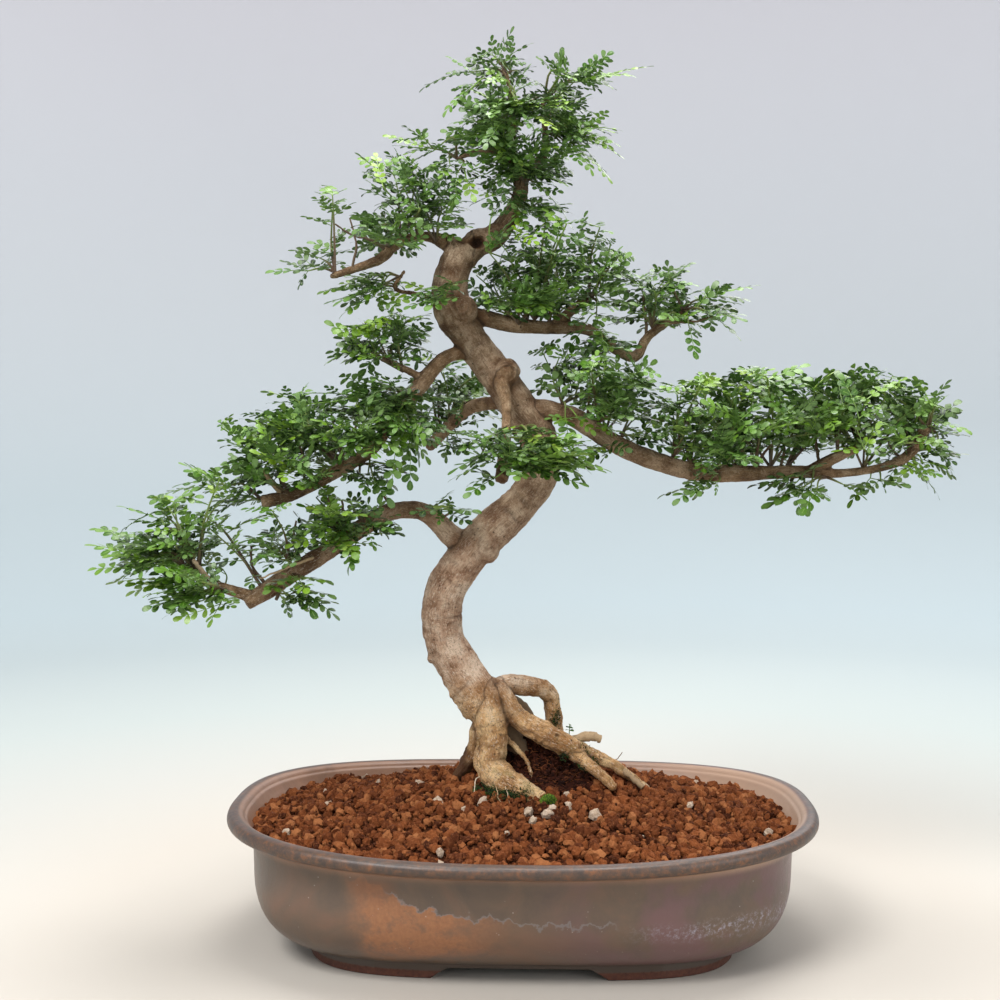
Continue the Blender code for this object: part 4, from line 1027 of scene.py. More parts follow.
class Skin:
    """A mesh's points and edges, for smoothing values over its surface."""

    def __init__(self, mesh):
        count = len(mesh.vertices)
        self.points = np.empty(3 * count)
        mesh.vertices.foreach_get("co", self.points)
        self.points = (self.points.reshape(-1, 3) - np.array(CENTRE)) / MM
        edges = np.empty(2 * len(mesh.edges), np.int32)
        mesh.edges.foreach_get("vertices", edges)
        a, b = edges.reshape(-1, 2).T
        self.tails = np.concatenate((a, b))
        self.heads = np.concatenate((b, a))
        self.count = count
        self.total = np.bincount(self.tails, minlength=count) + 1e-9

    def gather(self, values):
        """For each point, the mean of its neighbours' values."""
        columns = values.reshape(self.count, -1)
        sums = [np.bincount(self.tails, column[self.heads], self.count) for column in columns.T]
        return (np.array(sums).T / self.total[:, None]).reshape(values.shape)

    def spread(self, values, rounds):
        for _ in range(rounds):
            values = 0.5 * values + 0.5 * self.gather(values)
        return values

    def smooth(self, rounds):
        """Rounds off steps without thinning the limbs."""
        for _ in range(rounds):
            for share in (0.5, -0.52):
                self.points = self.points + share * (self.gather(self.points) - self.points)


class Limbs:
    """The wood's routes as smooth lines, and where a point lies on them."""

    def __init__(self, routes):
        spots, radii, frames, lengths = [], [], [], []
        self.lines = []
        for number, route in enumerate(routes):
            line = curve_through(route, WOOD_STEPS)
            self.lines.append(line)
            tangents = np.gradient(line[:, :3], axis=0)
            side = unit(np.cross(tangents[0], (0.3, 0.5, 1.0)))
            travelled = 97.0 * number
            previous = line[0]
            for station, tangent in zip(line, tangents):
                tangent = unit(tangent)
                side = unit(side - tangent * (side @ tangent))
                travelled += np.linalg.norm(station[:3] - previous[:3])
                previous = station
                spots.append(station[:3])
                radii.append(station[3])
                frames.append((side, np.cross(tangent, side), tangent))
                lengths.append(travelled)
        self.spots, self.radii = np.array(spots), np.array(radii)
        self.frames, self.lengths = np.array(frames), np.array(lengths)

    def places(self, points):
        """Each point's place across and along its nearest limb, and that limb's radius there."""
        made, radii = [], []
        for some in np.array_split(points, len(points) // 4000 + 1):
            squares = (some ** 2).sum(axis=1)[:, None] + (self.spots ** 2).sum(axis=1) - 2 * some @ self.spots.T
            nearest = np.argmin(np.sqrt(np.maximum(squares, 0)) - self.radii, axis=1)
            place = np.einsum("ijk,ik->ij", self.frames[nearest], some - self.spots[nearest])
            place[:, 2] += self.lengths[nearest]
            made.append(place)
            radii.append(self.radii[nearest])
        return np.concatenate(made), np.concatenate(radii)


def ball(centre, radius):
    bm = bmesh.new()
    bmesh.ops.create_icosphere(bm, subdivisions=3, radius=radius)
    points = np.array([tuple(vert.co) for vert in bm.verts]) + centre
    faces = np.array([[vert.index for vert in face.verts] for face in bm.faces])
    bm.free()
    return points, faces


def wave(points, sizes):
    """Smooth noise from -1 to 1 at each point, with features of about these sizes."""
    return np.array([noise.noise(Vector(point)) for point in points / sizes])


def build_wood(bark):
    """The grown wood again at a fine scale: smooth bends, fibres along each limb, wounds and the hollow."""
    limbs = Limbs([TRUNK, LEADER, *BRANCHES.values(), *ROOTS.values()])
    shape = Shape()
    for line in limbs.lines:
        shape.add(*tube(line[::3, :3], line[::3, 3], WOOD_SIDES), (0, 0, 0))
    for x, y, z, radius in KNOTS:
        shape.add(*ball((x, y, z), radius), (0, 0, 0))
    rough = shape.mesh("wood_rough")
    wood = bpy.data.objects.new("wood_rough", rough)
    bpy.context.scene.collection.objects.link(wood)
    fine = wood.modifiers.new("fine", "REMESH")
    fine.mode = "VOXEL"
    fine.voxel_size = WOOD_VOXEL * MM
    mesh = evaluated(wood)
    bpy.data.objects.remove(wood)
    skin = Skin(mesh)
    skin.smooth(WOOD_SMOOTHING)

    def set_points(points):
        mesh.vertices.foreach_set("co", (points * MM + np.array(CENTRE)).ravel())
        mesh.update()
        normals = np.empty(3 * skin.count)
        mesh.vertices.foreach_get("normal", normals)
        return normals.reshape(-1, 3)

    points = skin.points
    normals = set_points(points)
    hollows = np.einsum("ij,ij->i", skin.gather(points) - points, normals)
    # Painted shade: concave places are painted dark, and the wrinkles' folds below add to it.
    crease_shade = np.clip((skin.spread(hollows, 2) - 0.03) / 0.12, 0, 1)
    # Painted shade: a reddish-brown shade is spread wide over the broad hollows where limbs meet.
    joint_shade = np.clip(skin.spread(np.clip(hollows, 0, 0.2), 22) / 0.03, 0, 1)
    place, radius = limbs.places(points)
    root = np.clip((172 - points[:, 2]) / 20, 0, 1)
    thick = np.clip((radius - 3) / 6, 0, 1)
    lift = (0.14 + 0.2 * thick + 0.45 * root) * wave(place, (2.6, 2.6, 17))
    lift += (0.15 + 0.4 * thick + 0.5 * root) * wave(points, 6)
    lift += (0.1 + 0.2 * thick + 0.2 * root) * wave(points, 2.4)
    lift += (0.25 + 0.65 * thick) * wave(points, 19)
    rings = np.clip(wave(place, (11, 11, 3.4)) - 0.12, 0, 1) * np.clip(3 * wave(points, 24) + 0.4, 0, 1)
    lift += (0.1 + 0.35 * root) * wave(place, (7, 7, 2.4)) - (1.3 * thick + 0.6 * root) * rings
    # Painted shade in the ring grooves of thick limbs.
    joint_shade = np.maximum(joint_shade, np.clip((rings - 0.1) / 0.25, 0, 0.8) * thick)
    dark = np.zeros(skin.count)
    for spot, size, depth in SCARS:
        away = np.linalg.norm(points - spot, axis=1) / size
        lift += 0.8 * np.exp(-((away - 1) / 0.4) ** 2) - 0.7 * np.exp(-(away / 0.6) ** 2)
        dark = np.maximum(dark, depth * np.clip(1.25 - 1.4 * away, 0, 1))
    for x, y, z, size in KNOTS:
        away = np.linalg.norm(points - (x, y - 0.8 * size, z + 0.15 * size), axis=1) / size
        near = np.clip((1.3 - away) / 0.3, 0, 1) * np.clip(size / 9, 0.3, 1)
        swirl = np.sin(away * size * 2 + 4 * wave(points, 6)) * np.clip(1 + 2 * wave(points, 4), 0.2, 1)
        lift += 0.4 * near * swirl
        # Painted shade in the valleys of the knot's swirls.
        joint_shade = np.maximum(joint_shade, 0.8 * near * np.clip(0.2 - swirl, 0, 1))
    for spot, reach, depth in WRINKLES:
        nearest = np.argmin(np.linalg.norm(points - spot, axis=1))
        away = place - place[nearest]
        along = away[:, 2] + 1.2 * wave(points, 6)
        across = np.linalg.norm(away[:, :2], axis=1) / reach
        near = np.linalg.norm(points - spot, axis=1) < 2.5 * reach
        fold = depth * np.clip(1.6 - across, 0, 1) * np.exp(-(along / 1.1) ** 2) * near
        lift += 0.6 * depth * np.clip(1.6 - across, 0, 1) * np.exp(-((np.abs(along) - 2.6) / 1.2) ** 2) * near - fold
        # Painted shade: each wrinkle's fold is painted dark.
        crease_shade = np.maximum(crease_shade, 0.5 * fold)
    offset = (points - HOLLOW) / HOLLOW_SIZE
    away = np.linalg.norm(offset, axis=1)
    lift += LIP_HEIGHT * np.exp(-((away - 1.2) / 0.22) ** 2)
    lift[away < 1] = 0
    points = points + normals * lift[:, None]
    inner = (away < 1) & (normals[:, 1] < 0.2)
    across = np.minimum(1, np.linalg.norm(offset[:, ::2], axis=1))
    points[inner, 1] = (HOLLOW[1] + HOLLOW_SIZE[1] * np.sqrt(1 - across ** 2))[inner]
    # Painted shade: the inside of the hollow is painted dark.
    dark = np.maximum(dark, np.clip(2.2 - 2 * away, 0, 0.8))
    buried = np.clip((106 - points[:, 2]) / 14, 0, 1) * np.clip((-24 - points[:, 0]) / 8, 0, 1)
    mound = np.clip((-24 - points[:, 0]) / 6, 0, 1) * np.clip((points[:, 1] - 1) / 5, 0, 1)
    mound *= np.clip((132 - points[:, 2]) / 12, 0, 1)
    dark = np.maximum(dark, 0.48 * np.maximum(mound, buried))

    set_points(points)
    layer = mesh.attributes.new("shade", "FLOAT_COLOR", "POINT")
    layer.data.foreach_set("color", np.column_stack((crease_shade, joint_shade, dark, thick)).ravel())
    layer = mesh.attributes.new("limb", "FLOAT_VECTOR", "POINT")
    layer.data.foreach_set("vector", place.ravel())
    mesh.materials.clear()
    mesh.materials.append(bark)
    show("grown_wood", mesh, ["wood"])
    faces = [tuple(face.vertices) for face in mesh.polygons]
    return BVHTree.FromPolygons(points.tolist(), faces)


def build_twigs(look, wood):
    """Dead twigs, cut spurs and hair roots that grow out of the wood."""
    draw = np.random.default_rng(SEED)
    shape = Shape()
    for points, (first, last), pale in TWIGS.values():
        line = curve_through(points, 5)
        hit, normal, _, _ = wood.find_nearest(Vector(line[0]))
        line[0] = np.array(hit - normal * first)
        line[1:-1] += draw.normal(0, 0.25, line[1:-1].shape)
        radii = np.linspace(first, last, len(line)) * draw.uniform(0.85, 1.15, len(line))
        made, faces = tube(line, radii, 8)
        shape.add(made, faces, (pale, 0, 0))
    shape.make("dead_twigs", [look], "bark", sharp=50)


def leaflet(length, width, fold, arch):
    """A closed thin blade along +X, broadest past its middle, and how far each point is from the midrib."""
    side = [(0.24, 0.68), (0.62, 1), (0.9, 0.72)]
    rim = [(0, 0), *side, (1, 0), *[(x, -y) for x, y in reversed(side)]]
    flat = np.array([*rim, (0.36, 0), (0.72, 0)]) * (length, width / 2)
    lift = fold * np.abs(flat[:, 1]) - arch * flat[:, 0] ** 2 / length
    lift[8:] += LEAFLET_THICKNESS
    half = [(0, 8, 1), (8, 2, 1), (8, 9, 2), (9, 3, 2), (9, 4, 3)]
    mirror = {0: 0, 4: 4, 8: 8, 9: 9, **{i: 8 - i for i in (1, 2, 3)}}
    top = half + [(mirror[a], mirror[c], mirror[b]) for a, b, c in half]
    under = [(0, 1, 7), (1, 6, 7), (1, 2, 6), (2, 5, 6), (2, 3, 5), (3, 4, 5)]
    across = np.array([0.2, 1, 1, 1, 0.6, 1, 1, 1, 0, 0])
    return np.column_stack((flat, lift)), np.array(top + under), across


def turned(points, yaw, roll):
    """Points turned about X by roll, then about Z by yaw."""
    turn = np.array(Euler((roll, 0, yaw), "XYZ").to_matrix())
    return points @ turn.T


def leaf_length(pairs):
    return STALK + LEAFLET_PITCH * (pairs - 0.3) + LEAFLET_LENGTH


def leaf_template(pairs, draw):
    """A feathered leaf along +X from the foot of its stalk, in millimetres: points, faces, across values."""
    reach = leaf_length(pairs) - LEAFLET_LENGTH
    bend = draw.uniform(0.001, 0.009)
    sway = draw.uniform(0, math.tau)
    spot = lambda x: np.array((x, 0.8 * math.sin(x / 10 + sway) - 0.8 * math.sin(sway), -bend * x * x))
    line = [spot(x) for x in np.linspace(0, reach, max(3, pairs))]
    points, faces = tube(line, np.linspace(RIB_RADIUS, RIB_RADIUS * 0.6, len(line)), 3)
    made = [points]
    sides = [faces]
    across = [np.zeros(len(points))]
    count = len(points)
    stations = [(pair, side) for pair in range(pairs) for side in (-1, 1)] + [(pairs, 0)]
    for pair, side in stations:
        share = (pair + 1) / (pairs + 1)
        length = LEAFLET_LENGTH * (0.78 + 0.24 * share) * draw.uniform(0.88, 1.08)
        width = LEAFLET_WIDTH * (0.86 + 0.18 * share) * draw.uniform(0.86, 1.1)
        blade, blade_faces, blade_across = leaflet(length, width, draw.uniform(0.04, 0.3), draw.uniform(-0.02, 0.2))
        yaw = side * (LEAFLET_ANGLE - 0.24 * share) + draw.gauss(0, 0.1)
        blade = turned(blade, yaw, draw.gauss(0, 0.16) - side * draw.uniform(-0.1, 0.25))
        x = min(STALK + LEAFLET_PITCH * pair + draw.uniform(-0.5, 0.5), reach)
        tilt = np.array(Euler((0, math.atan(2 * bend * x), 0)).to_matrix())
        made.append(blade @ tilt.T + spot(x))
        sides.append(blade_faces + count)
        across.append(blade_across)
        count += len(blade)
    return np.concatenate(made), np.concatenate(sides), np.concatenate(across)


def find_arms(points, foot):
    """The far end of each arm of a spray: the furthest point, then those clear of the arms found."""
    offsets = points - foot
    reach = np.linalg.norm(offsets, axis=1)
    free = reach > SHORTEST_ARM
    tips = []
    while free.any():
        furthest = int(np.argmax(np.where(free, reach, 0)))
        tips.append(points[furthest])
        way = unit(offsets[furthest])
        along = np.clip(offsets @ way, 0, reach[furthest])
        free &= np.linalg.norm(offsets - along[:, None] * way, axis=1) > ARM_HALF_WIDTH
    return tips


class Foliage:
    """Grows shoots and feathered leaves over the places of the model's sprays."""

    def __init__(self, wood, looks):
        self.wood = wood
        self.looks = looks
        draw = random.Random(SEED)
        self.templates = {
            pairs: [leaf_template(pairs, draw) for _ in range(VARIANTS)] for pairs in range(2, MOST_PAIRS + 1)
        }
        low, high = [(np.array(corner) - np.array(CENTRE)) / MM for corner in CAD_BOX]
        margin = (high - low) * BOX_SHARE
        self.box_low, self.box_high = low - margin, high + margin
        self.leaves = 0

    def confine(self, foot, tips):
        """Sets the room and the heart of the spray that grows now."""
        spots = np.array([foot, *tips])
        self.heart = foot + (0, 8, 0)
        low, high = spots.min(axis=0), spots.max(axis=0)
        middle = (low + high) / 2
        self.low = np.maximum(self.box_low, np.minimum(low - MARGIN_BELOW, middle - LEAST_ROOM))
        self.high = np.minimum(self.box_high, np.maximum(high + MARGIN_ABOVE, middle + LEAST_ROOM))

    def clear(self, points):
        """Whether a leaf's points lie inside the spray's room and off the wood."""
        if (points < self.low).any() or (points > self.high).any():
            return False
        return all(self.wood.find_nearest(Vector(points[i]), 2.2)[0] is None for i in (len(points) // 2, -1, -20))

    def leaf(self, shape, foot, way, pairs, size, tint, youth, draw):
        """One leaf from its foot along way, with its face up and a little away from the spray's heart."""
        way = unit(way)
        outward = unit((foot - self.heart) * (1, 1, 0))
        facing = np.array((0, 0, 1)) + 0.4 * outward + np.array([draw.gauss(0, 0.36) for _ in range(3)])
        facing = unit(facing - way * (facing @ way))
        turn = np.column_stack((way, np.cross(facing, way), facing)) * size
        points, faces, across = draw.choice(self.templates[pairs])
        points = points @ turn.T + foot
        if not self.clear(points):
            return False
        shape.add(points, faces, np.column_stack((across, np.full(len(points), tint), np.full(len(points), youth))))
        self.leaves += 1
        return True

    def side_leaf(self, shape, place, tangent, turn, spread, share, youth, draw):
        """A leaf that leaves the shoot at this turn round it and this far from its direction."""
        level = unit(np.cross((0, 0, 1), tangent) + (1e-6, 0, 0))
        upward = np.cross(tangent, level)
        radial = math.cos(turn) * level + math.sin(turn) * upward
        way = math.cos(spread) * tangent + math.sin(spread) * radial
        way = unit(way * (1, 1, 0.7) + (0, 0, 0.1))
        lowest = -0.9 if draw.random() < 0.06 else draw.uniform(-0.25, 0.05)
        way[2] = max(way[2], lowest)
        full = LEAF_SIZES[0] + (LEAF_SIZES[1] - LEAF_SIZES[0]) * between(place[2], *SHRINKS_BETWEEN)
        size = full * draw.uniform(0.74, 1.04)
        # Painted shade: leaves near the spray's heart get a darker tint, outer leaves a lighter one, and leaves at the
        # far left end lighter still.
        outer = between(np.linalg.norm((place - self.heart) * (1, 1, 1.4)), 15, 75)
        outer += 0.4 * between(place[0], -150, -190)
        tint = min(1, max(0, 0.3 * share + 0.35 * outer + draw.gauss(0, 0.2)))
        if not self.leaf(shape, place, way, draw.choice(SIDE_PAIRS), size, tint, youth, draw):
            self.leaf(shape, place, way, 2, 0.7 * size, tint, youth, draw)

    def shoot(self, shape, foot, tip, draw, rise=0.06, bend=0.05, youth=0.0, woody=1.0, bare=0.2):
        """A shoot with leaves all round it, which ends in one long leaf that reaches the tip."""
        span = tip - foot
        length = np.linalg.norm(span)
        full = LEAF_SIZES[0] + (LEAF_SIZES[1] - LEAF_SIZES[0]) * between(tip[2], *SHRINKS_BETWEEN)
        steep = between(span[2] / length, 0.3, 0.9) * (1 - 0.6 * between(tip[2], 470, 520))
        last = min(END_LEAF_LENGTH, END_LEAF_SHARE * length) * (1 - 0.45 * steep)
        pairs = round((last / full - STALK - LEAFLET_LENGTH) / LEAFLET_PITCH + 0.3)
        pairs = min(MOST_PAIRS, max(2, pairs))
        size = min(last / leaf_length(pairs), 1.15 * full)
        level = draw.uniform(0, math.tau)
        lean = unit(span) * (1 - 0.7 * steep) + 0.8 * steep * np.array((math.cos(level), math.sin(level), 0))
        stem_end = tip - unit(lean) * size * leaf_length(pairs)
        stem_end = np.clip(stem_end, self.low + 3, self.high - 3)
        middle = (foot + stem_end) / 2 + (0, 0, rise * length)
        middle = middle + np.array([draw.gauss(0, bend * length) for _ in range(3)])
        line = curve_through([foot, middle, stem_end], 4)
        radii = np.linspace(SHOOT_RADIUS[0] * woody, SHOOT_RADIUS[1], len(line))
        points, faces = tube(line, radii, 4)
        rings = np.repeat(np.arange(len(line)), 4)
        ages = np.concatenate((rings, [0, len(line) - 1])) / (len(line) - 1)
        ages = np.clip(woody * 0.8 - ages * 0.7, 0, 1)
        shape.add(points, faces, np.column_stack((ages, ages, ages)), finish=1)

        steps = np.linalg.norm(np.diff(line, axis=0), axis=1)
        count = max(1, int(steps.sum() * (1 - bare) / LEAF_PITCH))
        turn = draw.uniform(0, math.tau)
        for number in range(count + 2):
            share = min(1, bare + (1 - bare) * (number + draw.random() * 0.5) / count)
            spot = share * (len(line) - 1) - 1e-6
            index = int(spot)
            place = line[index] + (line[index + 1] - line[index]) * (spot - index)
            tangent = unit(line[index + 1] - line[index])
            turn += LEAF_TURN + draw.gauss(0, 0.2)
            spread = math.radians(78 - 34 * share * (1 - steep)) + draw.gauss(0, 0.14)
            self.side_leaf(shape, place, tangent, turn, spread, share, youth, draw)
        tint = min(1, max(0, 0.6 + draw.gauss(0, 0.2)))
        self.leaf(shape, stem_end, tip - stem_end, pairs, size, tint, youth, draw)
        return line

    def side_shoots(self, shape, line, tip, count, draw):
        reach = np.linalg.norm(tip - line[0])
        for _ in range(count):
            start = line[draw.randrange(2, len(line) - 1)]
            way = unit(tip - line[0]) + np.array([draw.gauss(0, 0.7), draw.gauss(0, 0.7), draw.gauss(0.2, 0.3)])
            end = start + unit(way) * min(draw.uniform(30, 44), 0.75 * reach)
            end = np.clip(end, self.low + 3, self.high - 3)
            youth = draw.choice((0.0, 0.0, 0.0, 0.2, 0.8))
            self.shoot(shape, start, end, draw, rise=0.08, youth=youth, woody=0.6, bare=0.1)

    def spray(self, node, seed):
        """One of the model's sprays again: shoots out to each of its tips, and some in between."""
        draw = random.Random(seed)
        points = cad_points(node)
        gaps = [self.wood.find_nearest(Vector(point)) for point in points]
        foot = np.array(min(gaps, key=lambda hit: hit[3])[0])
        shape = Shape()
        side_shoots, extra_shoots = OWN_DENSITY.get(node, DENSITY)
        tips = find_arms(points, foot)
        self.confine(foot, tips)
        for tip in tips:
            youth = draw.choice((0.0, 0.0, 0.1, 0.6)) if tip[2] > 480 else draw.choice((0.0, 0.0, 0.0, 0.3))
            line = self.shoot(shape, foot, np.array(tip), draw, rise=draw.uniform(0.02, 0.1), youth=youth, woody=1.2)
            self.side_shoots(shape, line, tip, side_shoots, draw)
        for _ in range(extra_shoots):
            first, second = draw.choice(tips), draw.choice(tips)
            share = draw.random()
            tip = (first * share + second * (1 - share)) * 0.85 + foot * 0.15
            tip = tip + np.array([draw.gauss(0, 8), draw.gauss(0, 10), draw.gauss(2, 5)])
            self.shoot(shape, foot, tip, draw, rise=draw.uniform(0.05, 0.18), bend=0.1)
        shape.make(node + "_leaves", [self.looks["leaf"], self.looks["shoot"]], "leaf", [node], sharp=50)

    def tuft(self, name, foot, tips, seed):
        """More shoots from the wood, between the model's sprays."""
        draw = random.Random(seed)
        foot = np.array(self.wood.find_nearest(Vector(foot))[0])
        shape = Shape()
        self.confine(foot, tips)
        for tip in tips:
            tip = np.array(tip, float)
            line = self.shoot(shape, foot, tip, draw, rise=0.08, bend=0.08, youth=draw.choice((0, 0, 0, 0.3)))
            self.side_shoots(shape, line, tip, OWN_DENSITY.get(name, DENSITY)[0], draw)
        shape.make(name, [self.looks["leaf"], self.looks["shoot"]], "leaf", sharp=50)


def rock_templates(draw, count, subdivisions, share=1.0):
    """Rough angular granules of radius 1, thinned to this share of their triangles."""
    rocks = []
    for number in range(count):
        bm = bmesh.new()
        bmesh.ops.create_icosphere(bm, subdivisions=subdivisions, radius=1)
        shift = Vector((number * 7.3, 0, 0))
        stretch = Vector((draw.uniform(0.85, 1.25), draw.uniform(0.75, 1.1), draw.uniform(0.65, 0.95)))
        for vert in bm.verts:
            way = vert.co.normalized()
            radius = 1 + 0.36 * noise.noise(way * 1.2 + shift) + 0.34 * noise.noise(way * 2.9 + shift)
            vert.co = way * radius * stretch
        mesh = bpy.data.meshes.new("rock")
        bm.to_mesh(mesh)
        bm.free()
        if share < 1:
            rock = bpy.data.objects.new("rock", mesh)
            bpy.context.scene.collection.objects.link(rock)
            rock.modifiers.new("thin", "DECIMATE").ratio = share
            mesh = evaluated(rock)
            bpy.data.objects.remove(rock)
        points = np.array([tuple(vert.co) for vert in mesh.vertices])
        rocks.append((points, np.array([tuple(face.vertices) for face in mesh.polygons])))
    return rocks


def in_peat(x, y):
    return ((x - PEAT_SPOT[0]) / PEAT_REACH[0]) ** 2 + ((y - PEAT_SPOT[1]) / PEAT_REACH[1]) ** 2


def build_soil(soil_look, twig_look, wood):
    """Single granules over a bed that follows the model's soil, with peat and fibres between the roots."""
    draw = random.Random(SEED + 1)
    rocks = rock_templates(draw, 16, 3, 0.15)
    crumbs = rock_templates(draw, 8, 1)
    ground = cad_tree("soil")
    low, high = [(np.array(corner) - np.array(CENTRE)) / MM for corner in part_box("soil")]
    halves = {"front": Shape(), "back": Shape()}

    def surface(x, y):
        hit, normal, _, _ = ground.ray_cast(Vector((x, y, 200)), Vector((0, 0, -1)))
        return None if hit is None or normal.z < 0.3 else np.array(hit)

    def lay(shape, templates, size, centre, shade):
        if wood.find_nearest(Vector(centre), size * 0.6)[0] is not None:
            return
        points, faces = draw.choice(templates)
        turn = np.array(Euler([draw.uniform(0, math.tau) for _ in range(3)]).to_matrix())
        shape.add(points @ turn.T * size + centre, faces, shade)

    for templates, pitch, sizes, sunk in ((rocks, GRAIN_PITCH, GRAIN_SIZES, -0.3), (crumbs, 5.2, (1, 1, 1.4), 0.4)):
        rows = int((high[1] - low[1]) / (pitch * 0.87))
        columns = int((high[0] - low[0]) / pitch)
        for row in range(rows + 1):
            for column in range(columns + 1):
                x = low[0] + pitch * (column + 0.5 * (row % 2)) + draw.uniform(-1.7, 1.7)
                y = low[1] + pitch * 0.87 * row + draw.uniform(-1.7, 1.7)
                hit = surface(x, y)
                if hit is None or in_peat(x, y) < draw.uniform(0.75, 1.1):
                    continue
                if any(math.dist((x, y), spot) < size for spot, size in PUMICE):
                    continue
                size = draw.choice(sizes) * draw.uniform(0.85, 1.1)
                centre = hit + (0, 0, sunk + draw.uniform(-1.1, 1.1))
                shade = (draw.random(), 0.9 if draw.random() < 0.003 else 0, 0)
                lay(halves["front" if y < 0 else "back"], templates, size, centre, shade)
    for spot, size in PUMICE:
        centre = surface(*spot) + (0, 0, 0.2 * size)
        lay(halves["front" if spot[1] < 0 else "back"], rocks, size * 0.8, centre, (draw.random(), 0.95, 0))

    peat = Shape()
    for _ in range(2900):
        x = PEAT_SPOT[0] + draw.uniform(-1.1, 1.1) * PEAT_REACH[0]
        y = PEAT_SPOT[1] + draw.uniform(-1.1, 1.1) * PEAT_REACH[1]
        hit = surface(x, y)
        if hit is None or in_peat(x, y) > draw.uniform(0.8, 1.2):
            continue
        centre = hit + (0, 0, draw.uniform(-0.5, 1.6))
        if draw.random() < 0.82:
            lay(peat, crumbs, draw.choice((0.7, 1, 1.4, 1.9)), centre, (draw.random() * 0.75, 0, 1))
        else:
            level = draw.uniform(0, math.tau)
            way = np.array((math.cos(level), math.sin(level), draw.uniform(-0.3, 0.5))) * draw.uniform(2, 5)
            line = curve_through([centre - way, centre + (0, 0, 1), centre + way], 2)
            peat.add(*tube(line, np.full(len(line), 0.22), 3), (draw.uniform(0.7, 1), 0, 1))
    halves["front"].make("granules_front", [soil_look], "soil", ["soil"], sharp=32)
    halves["back"].make("granules_back", [soil_look], "soil", ["soil"], sharp=32)
    peat.make("peat", [soil_look], "soil", ["soil"], sharp=40)

    bed = frame["nodes"]["soil"].data.copy()
    bed.materials.clear()
    bed.materials.append(soil_look)
    show("soil_bed", bed, ["soil"])
    for vert in bed.vertices:
        if vert.co.z > 60 * MM:
            vert.co.z -= 2.2 * MM


def add_tufts(shape, middle, half, count, draw):
    """Short upright leaves of moss over a dome."""
    for _ in range(count):
        way = unit(np.array([draw.gauss(0, 1), draw.gauss(0, 1), abs(draw.gauss(0, 1))]))
        foot = middle + way * half * 0.85
        tip = foot + unit(way / half + np.array([draw.gauss(0, 0.05) for _ in range(3)])) * draw.uniform(1.2, 2.6)
        tuft, tuft_faces = tube([foot, tip], [0.36, 0.08], 3)
        shape.add(tuft, tuft_faces, (draw.uniform(0.3, 1), 0, 0))


def build_moss(node, look):
    """Tufts over the form of a moss cushion."""
    draw = random.Random(SEED + len(node))
    low, high = [(np.array(corner) - np.array(CENTRE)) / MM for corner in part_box(node)]
    middle, half = (low + high) / 2, (high - low) / 2
    shape = Shape()
    points, faces = rock_templates(draw, 1, 2)[0]
    shape.add(points * half * 0.9 + middle, faces, (0.15, 0, 0))
    add_tufts(shape, middle, half, 900, draw)
    shape.make(node + "_tufts", [look], "moss", [node])


def build_clumps(look, wood):
    """Dark moss along the roots' feet and a tiny seedling."""
    draw = random.Random(SEED + 5)
    shape = Shape()
    for middle, half, count in MOSS_CLUMPS:
        for _ in range(count):
            spot = Vector([c + h * draw.gauss(0, 0.45) for c, h in zip(middle, half)])
            hit, normal, _, gap = wood.find_nearest(spot)
            foot = np.array(hit if gap < 2.5 else spot)
            tip = foot + unit(np.array(normal) + (0, 0, 0.6) + [draw.gauss(0, 0.5) for _ in range(3)]) * draw.uniform(0.8, 1.8)
            tuft, faces = tube([foot, tip], [0.36, 0.08], 3)
            shape.add(tuft, faces, (min(1, abs(draw.gauss(0.1, 0.25))), 0, 0))
    foot = np.array(wood.find_nearest(Vector((31, -3, 130)))[0])
    for height, turn in ((2.5, 0.2), (2.8, 2.9), (4.2, 0.8), (4.6, 2.4), (5.6, 4.6), (6, 1.4)):
        top = foot + (0.3, 0, height)
        shape.add(*tube([foot, (foot + top) / 2, top], [0.3, 0.3, 0.2], 3), (0.6, 0, 0))
        blade, faces, _ = leaflet(3, 2.4, 0.2, 0.1)
        shape.add(turned(blade, turn, draw.uniform(0.2, 0.7)) + top, faces, (0.55, 0, 0))
    shape.make("moss_clumps", [look], "moss")


def build_stage(look):
    """A pale floor that sweeps up all round."""
    bm = bmesh.new()
    profile = [(0, 0), (1.3, 0)]
    profile += [(1.3 + 0.9 * math.sin(math.radians(a)), 0.9 - 0.9 * math.cos(math.radians(a))) for a in range(6, 91, 6)]
    profile.append((2.2, 3.4))
    steps = 96
    rings = []
    for radius, height in profile[1:]:
        rings.append([
            bm.verts.new((radius * math.cos(math.tau * i / steps), radius * math.sin(math.tau * i / steps), height))
            for i in range(steps)
        ])
    bm.faces.new(rings[0])
    for low, high in zip(rings, rings[1:]):
        for i in range(steps):
            bm.faces.new((low[i], low[(i + 1) % steps], high[(i + 1) % steps], high[i]))
    bmesh.ops.recalc_face_normals(bm, faces=bm.faces)
    mesh = bpy.data.meshes.new("floor")
    bm.to_mesh(mesh)
    bm.free()
    mesh.shade_smooth()
    mesh.materials.append(look)
    floor = bpy.data.objects.new("floor", mesh)
    bpy.context.scene.collection.objects.link(floor)


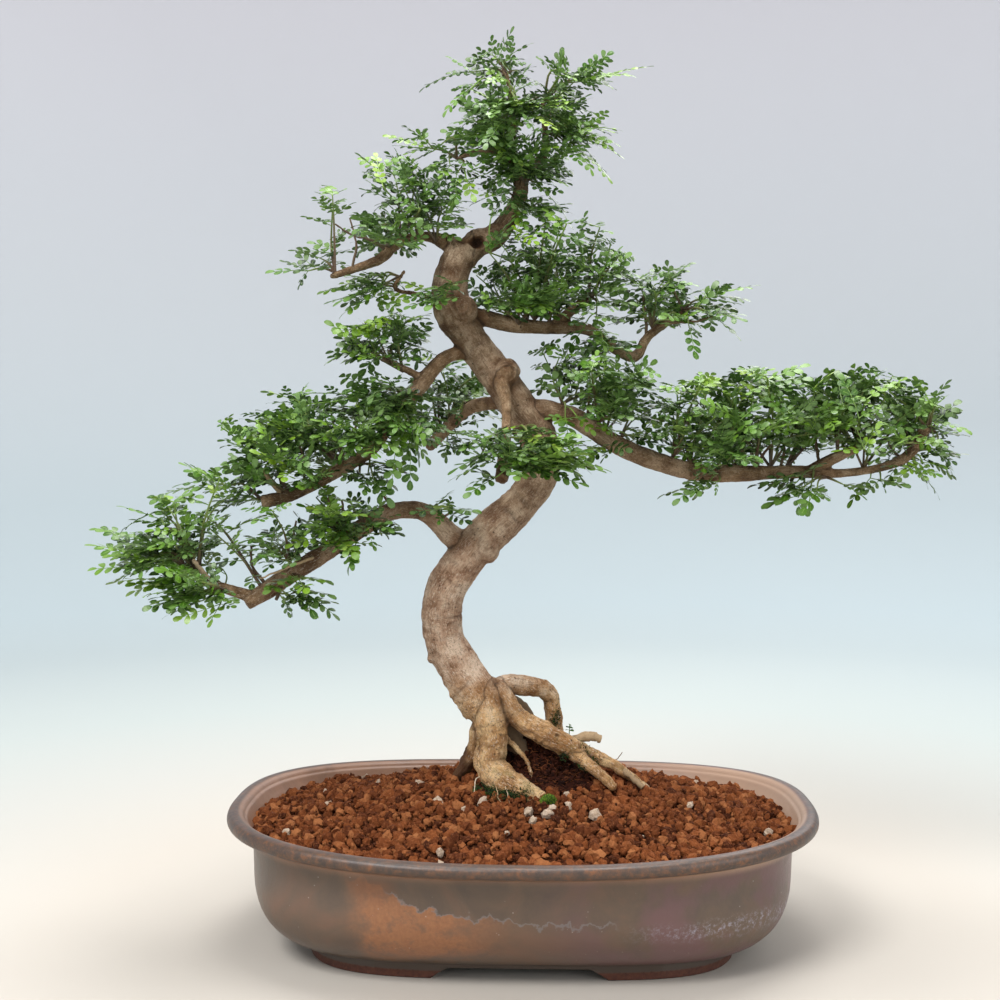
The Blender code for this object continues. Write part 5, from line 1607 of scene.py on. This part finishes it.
def add_light(name, place, target, size, power, colour=(1, 1, 1)):
    data = bpy.data.lights.new(name, "AREA")
    data.size = size
    data.energy = power
    data.color = colour
    light = bpy.data.objects.new(name, data)
    light.location = place
    light.rotation_euler = (Vector(target) - Vector(place)).to_track_quat("-Z", "Y").to_euler()
    bpy.context.scene.collection.objects.link(light)


def light_studio():
    world = bpy.data.worlds.new("studio")
    world.use_nodes = True
    sky = world.node_tree.nodes["Background"]
    sky.inputs["Color"].default_value = (0.95, 0.98, 1.0, 1)
    sky.inputs["Strength"].default_value = 0.55
    bpy.context.scene.world = world
    bpy.context.scene.view_settings.view_transform = "Standard"
    add_light("key", (-0.8, -1.2, 1.7), (0, 0, 0.3), 0.8, 36)
    add_light("fill", (1.3, -1.1, 1.0), (0, 0, 0.25), 1.2, 10)
    add_light("top", (0.1, 0.1, 1.9), (0, 0, 0.3), 1.0, 30)
    add_light("rear", (0.6, 1.3, 1.3), (0, 0, 0.4), 1.0, 8)


def place_camera():
    data = bpy.data.cameras.new("camera")
    data.lens = CAMERA_LENS
    data.sensor_width = CAMERA_SENSOR
    camera = bpy.data.objects.new("camera", data)
    camera.location = CENTRE + Vector(CAMERA_SPOT) * MM
    camera.rotation_euler = (math.pi / 2 - CAMERA_TILT, 0, CAMERA_TURN)
    bpy.context.scene.collection.objects.link(camera)
    bpy.context.scene.camera = camera


place_camera()
light_studio()
build_stage(floor_finish())
build_pot(glaze_finish())
screen_look = plastic_finish()
for screen in ("drain_screen_left", "drain_screen_right"):
    build_screen(screen, screen_look)
wood_tree = build_wood(bark_finish())
twig_look = twig_finish()
build_twigs(twig_look, wood_tree)
build_soil(soil_finish(), twig_look, wood_tree)
moss_look = moss_finish()
build_clumps(moss_look, wood_tree)
for cushion in ("moss_by_root", "moss_under_arch"):
    build_moss(cushion, moss_look)
foliage = Foliage(wood_tree, {"leaf": leaf_finish(), "shoot": shoot_finish()})
leafy = sorted(part["node"] for part in frame["record"]["subparts"] if part["material_slot"] == "leaf")
for number, node in enumerate(leafy):
    foliage.spray(node, SEED + number)
for number, (name, (foot, tips)) in enumerate(TUFTS.items()):
    foliage.tuft(name, foot, tips, SEED + 1000 + number)
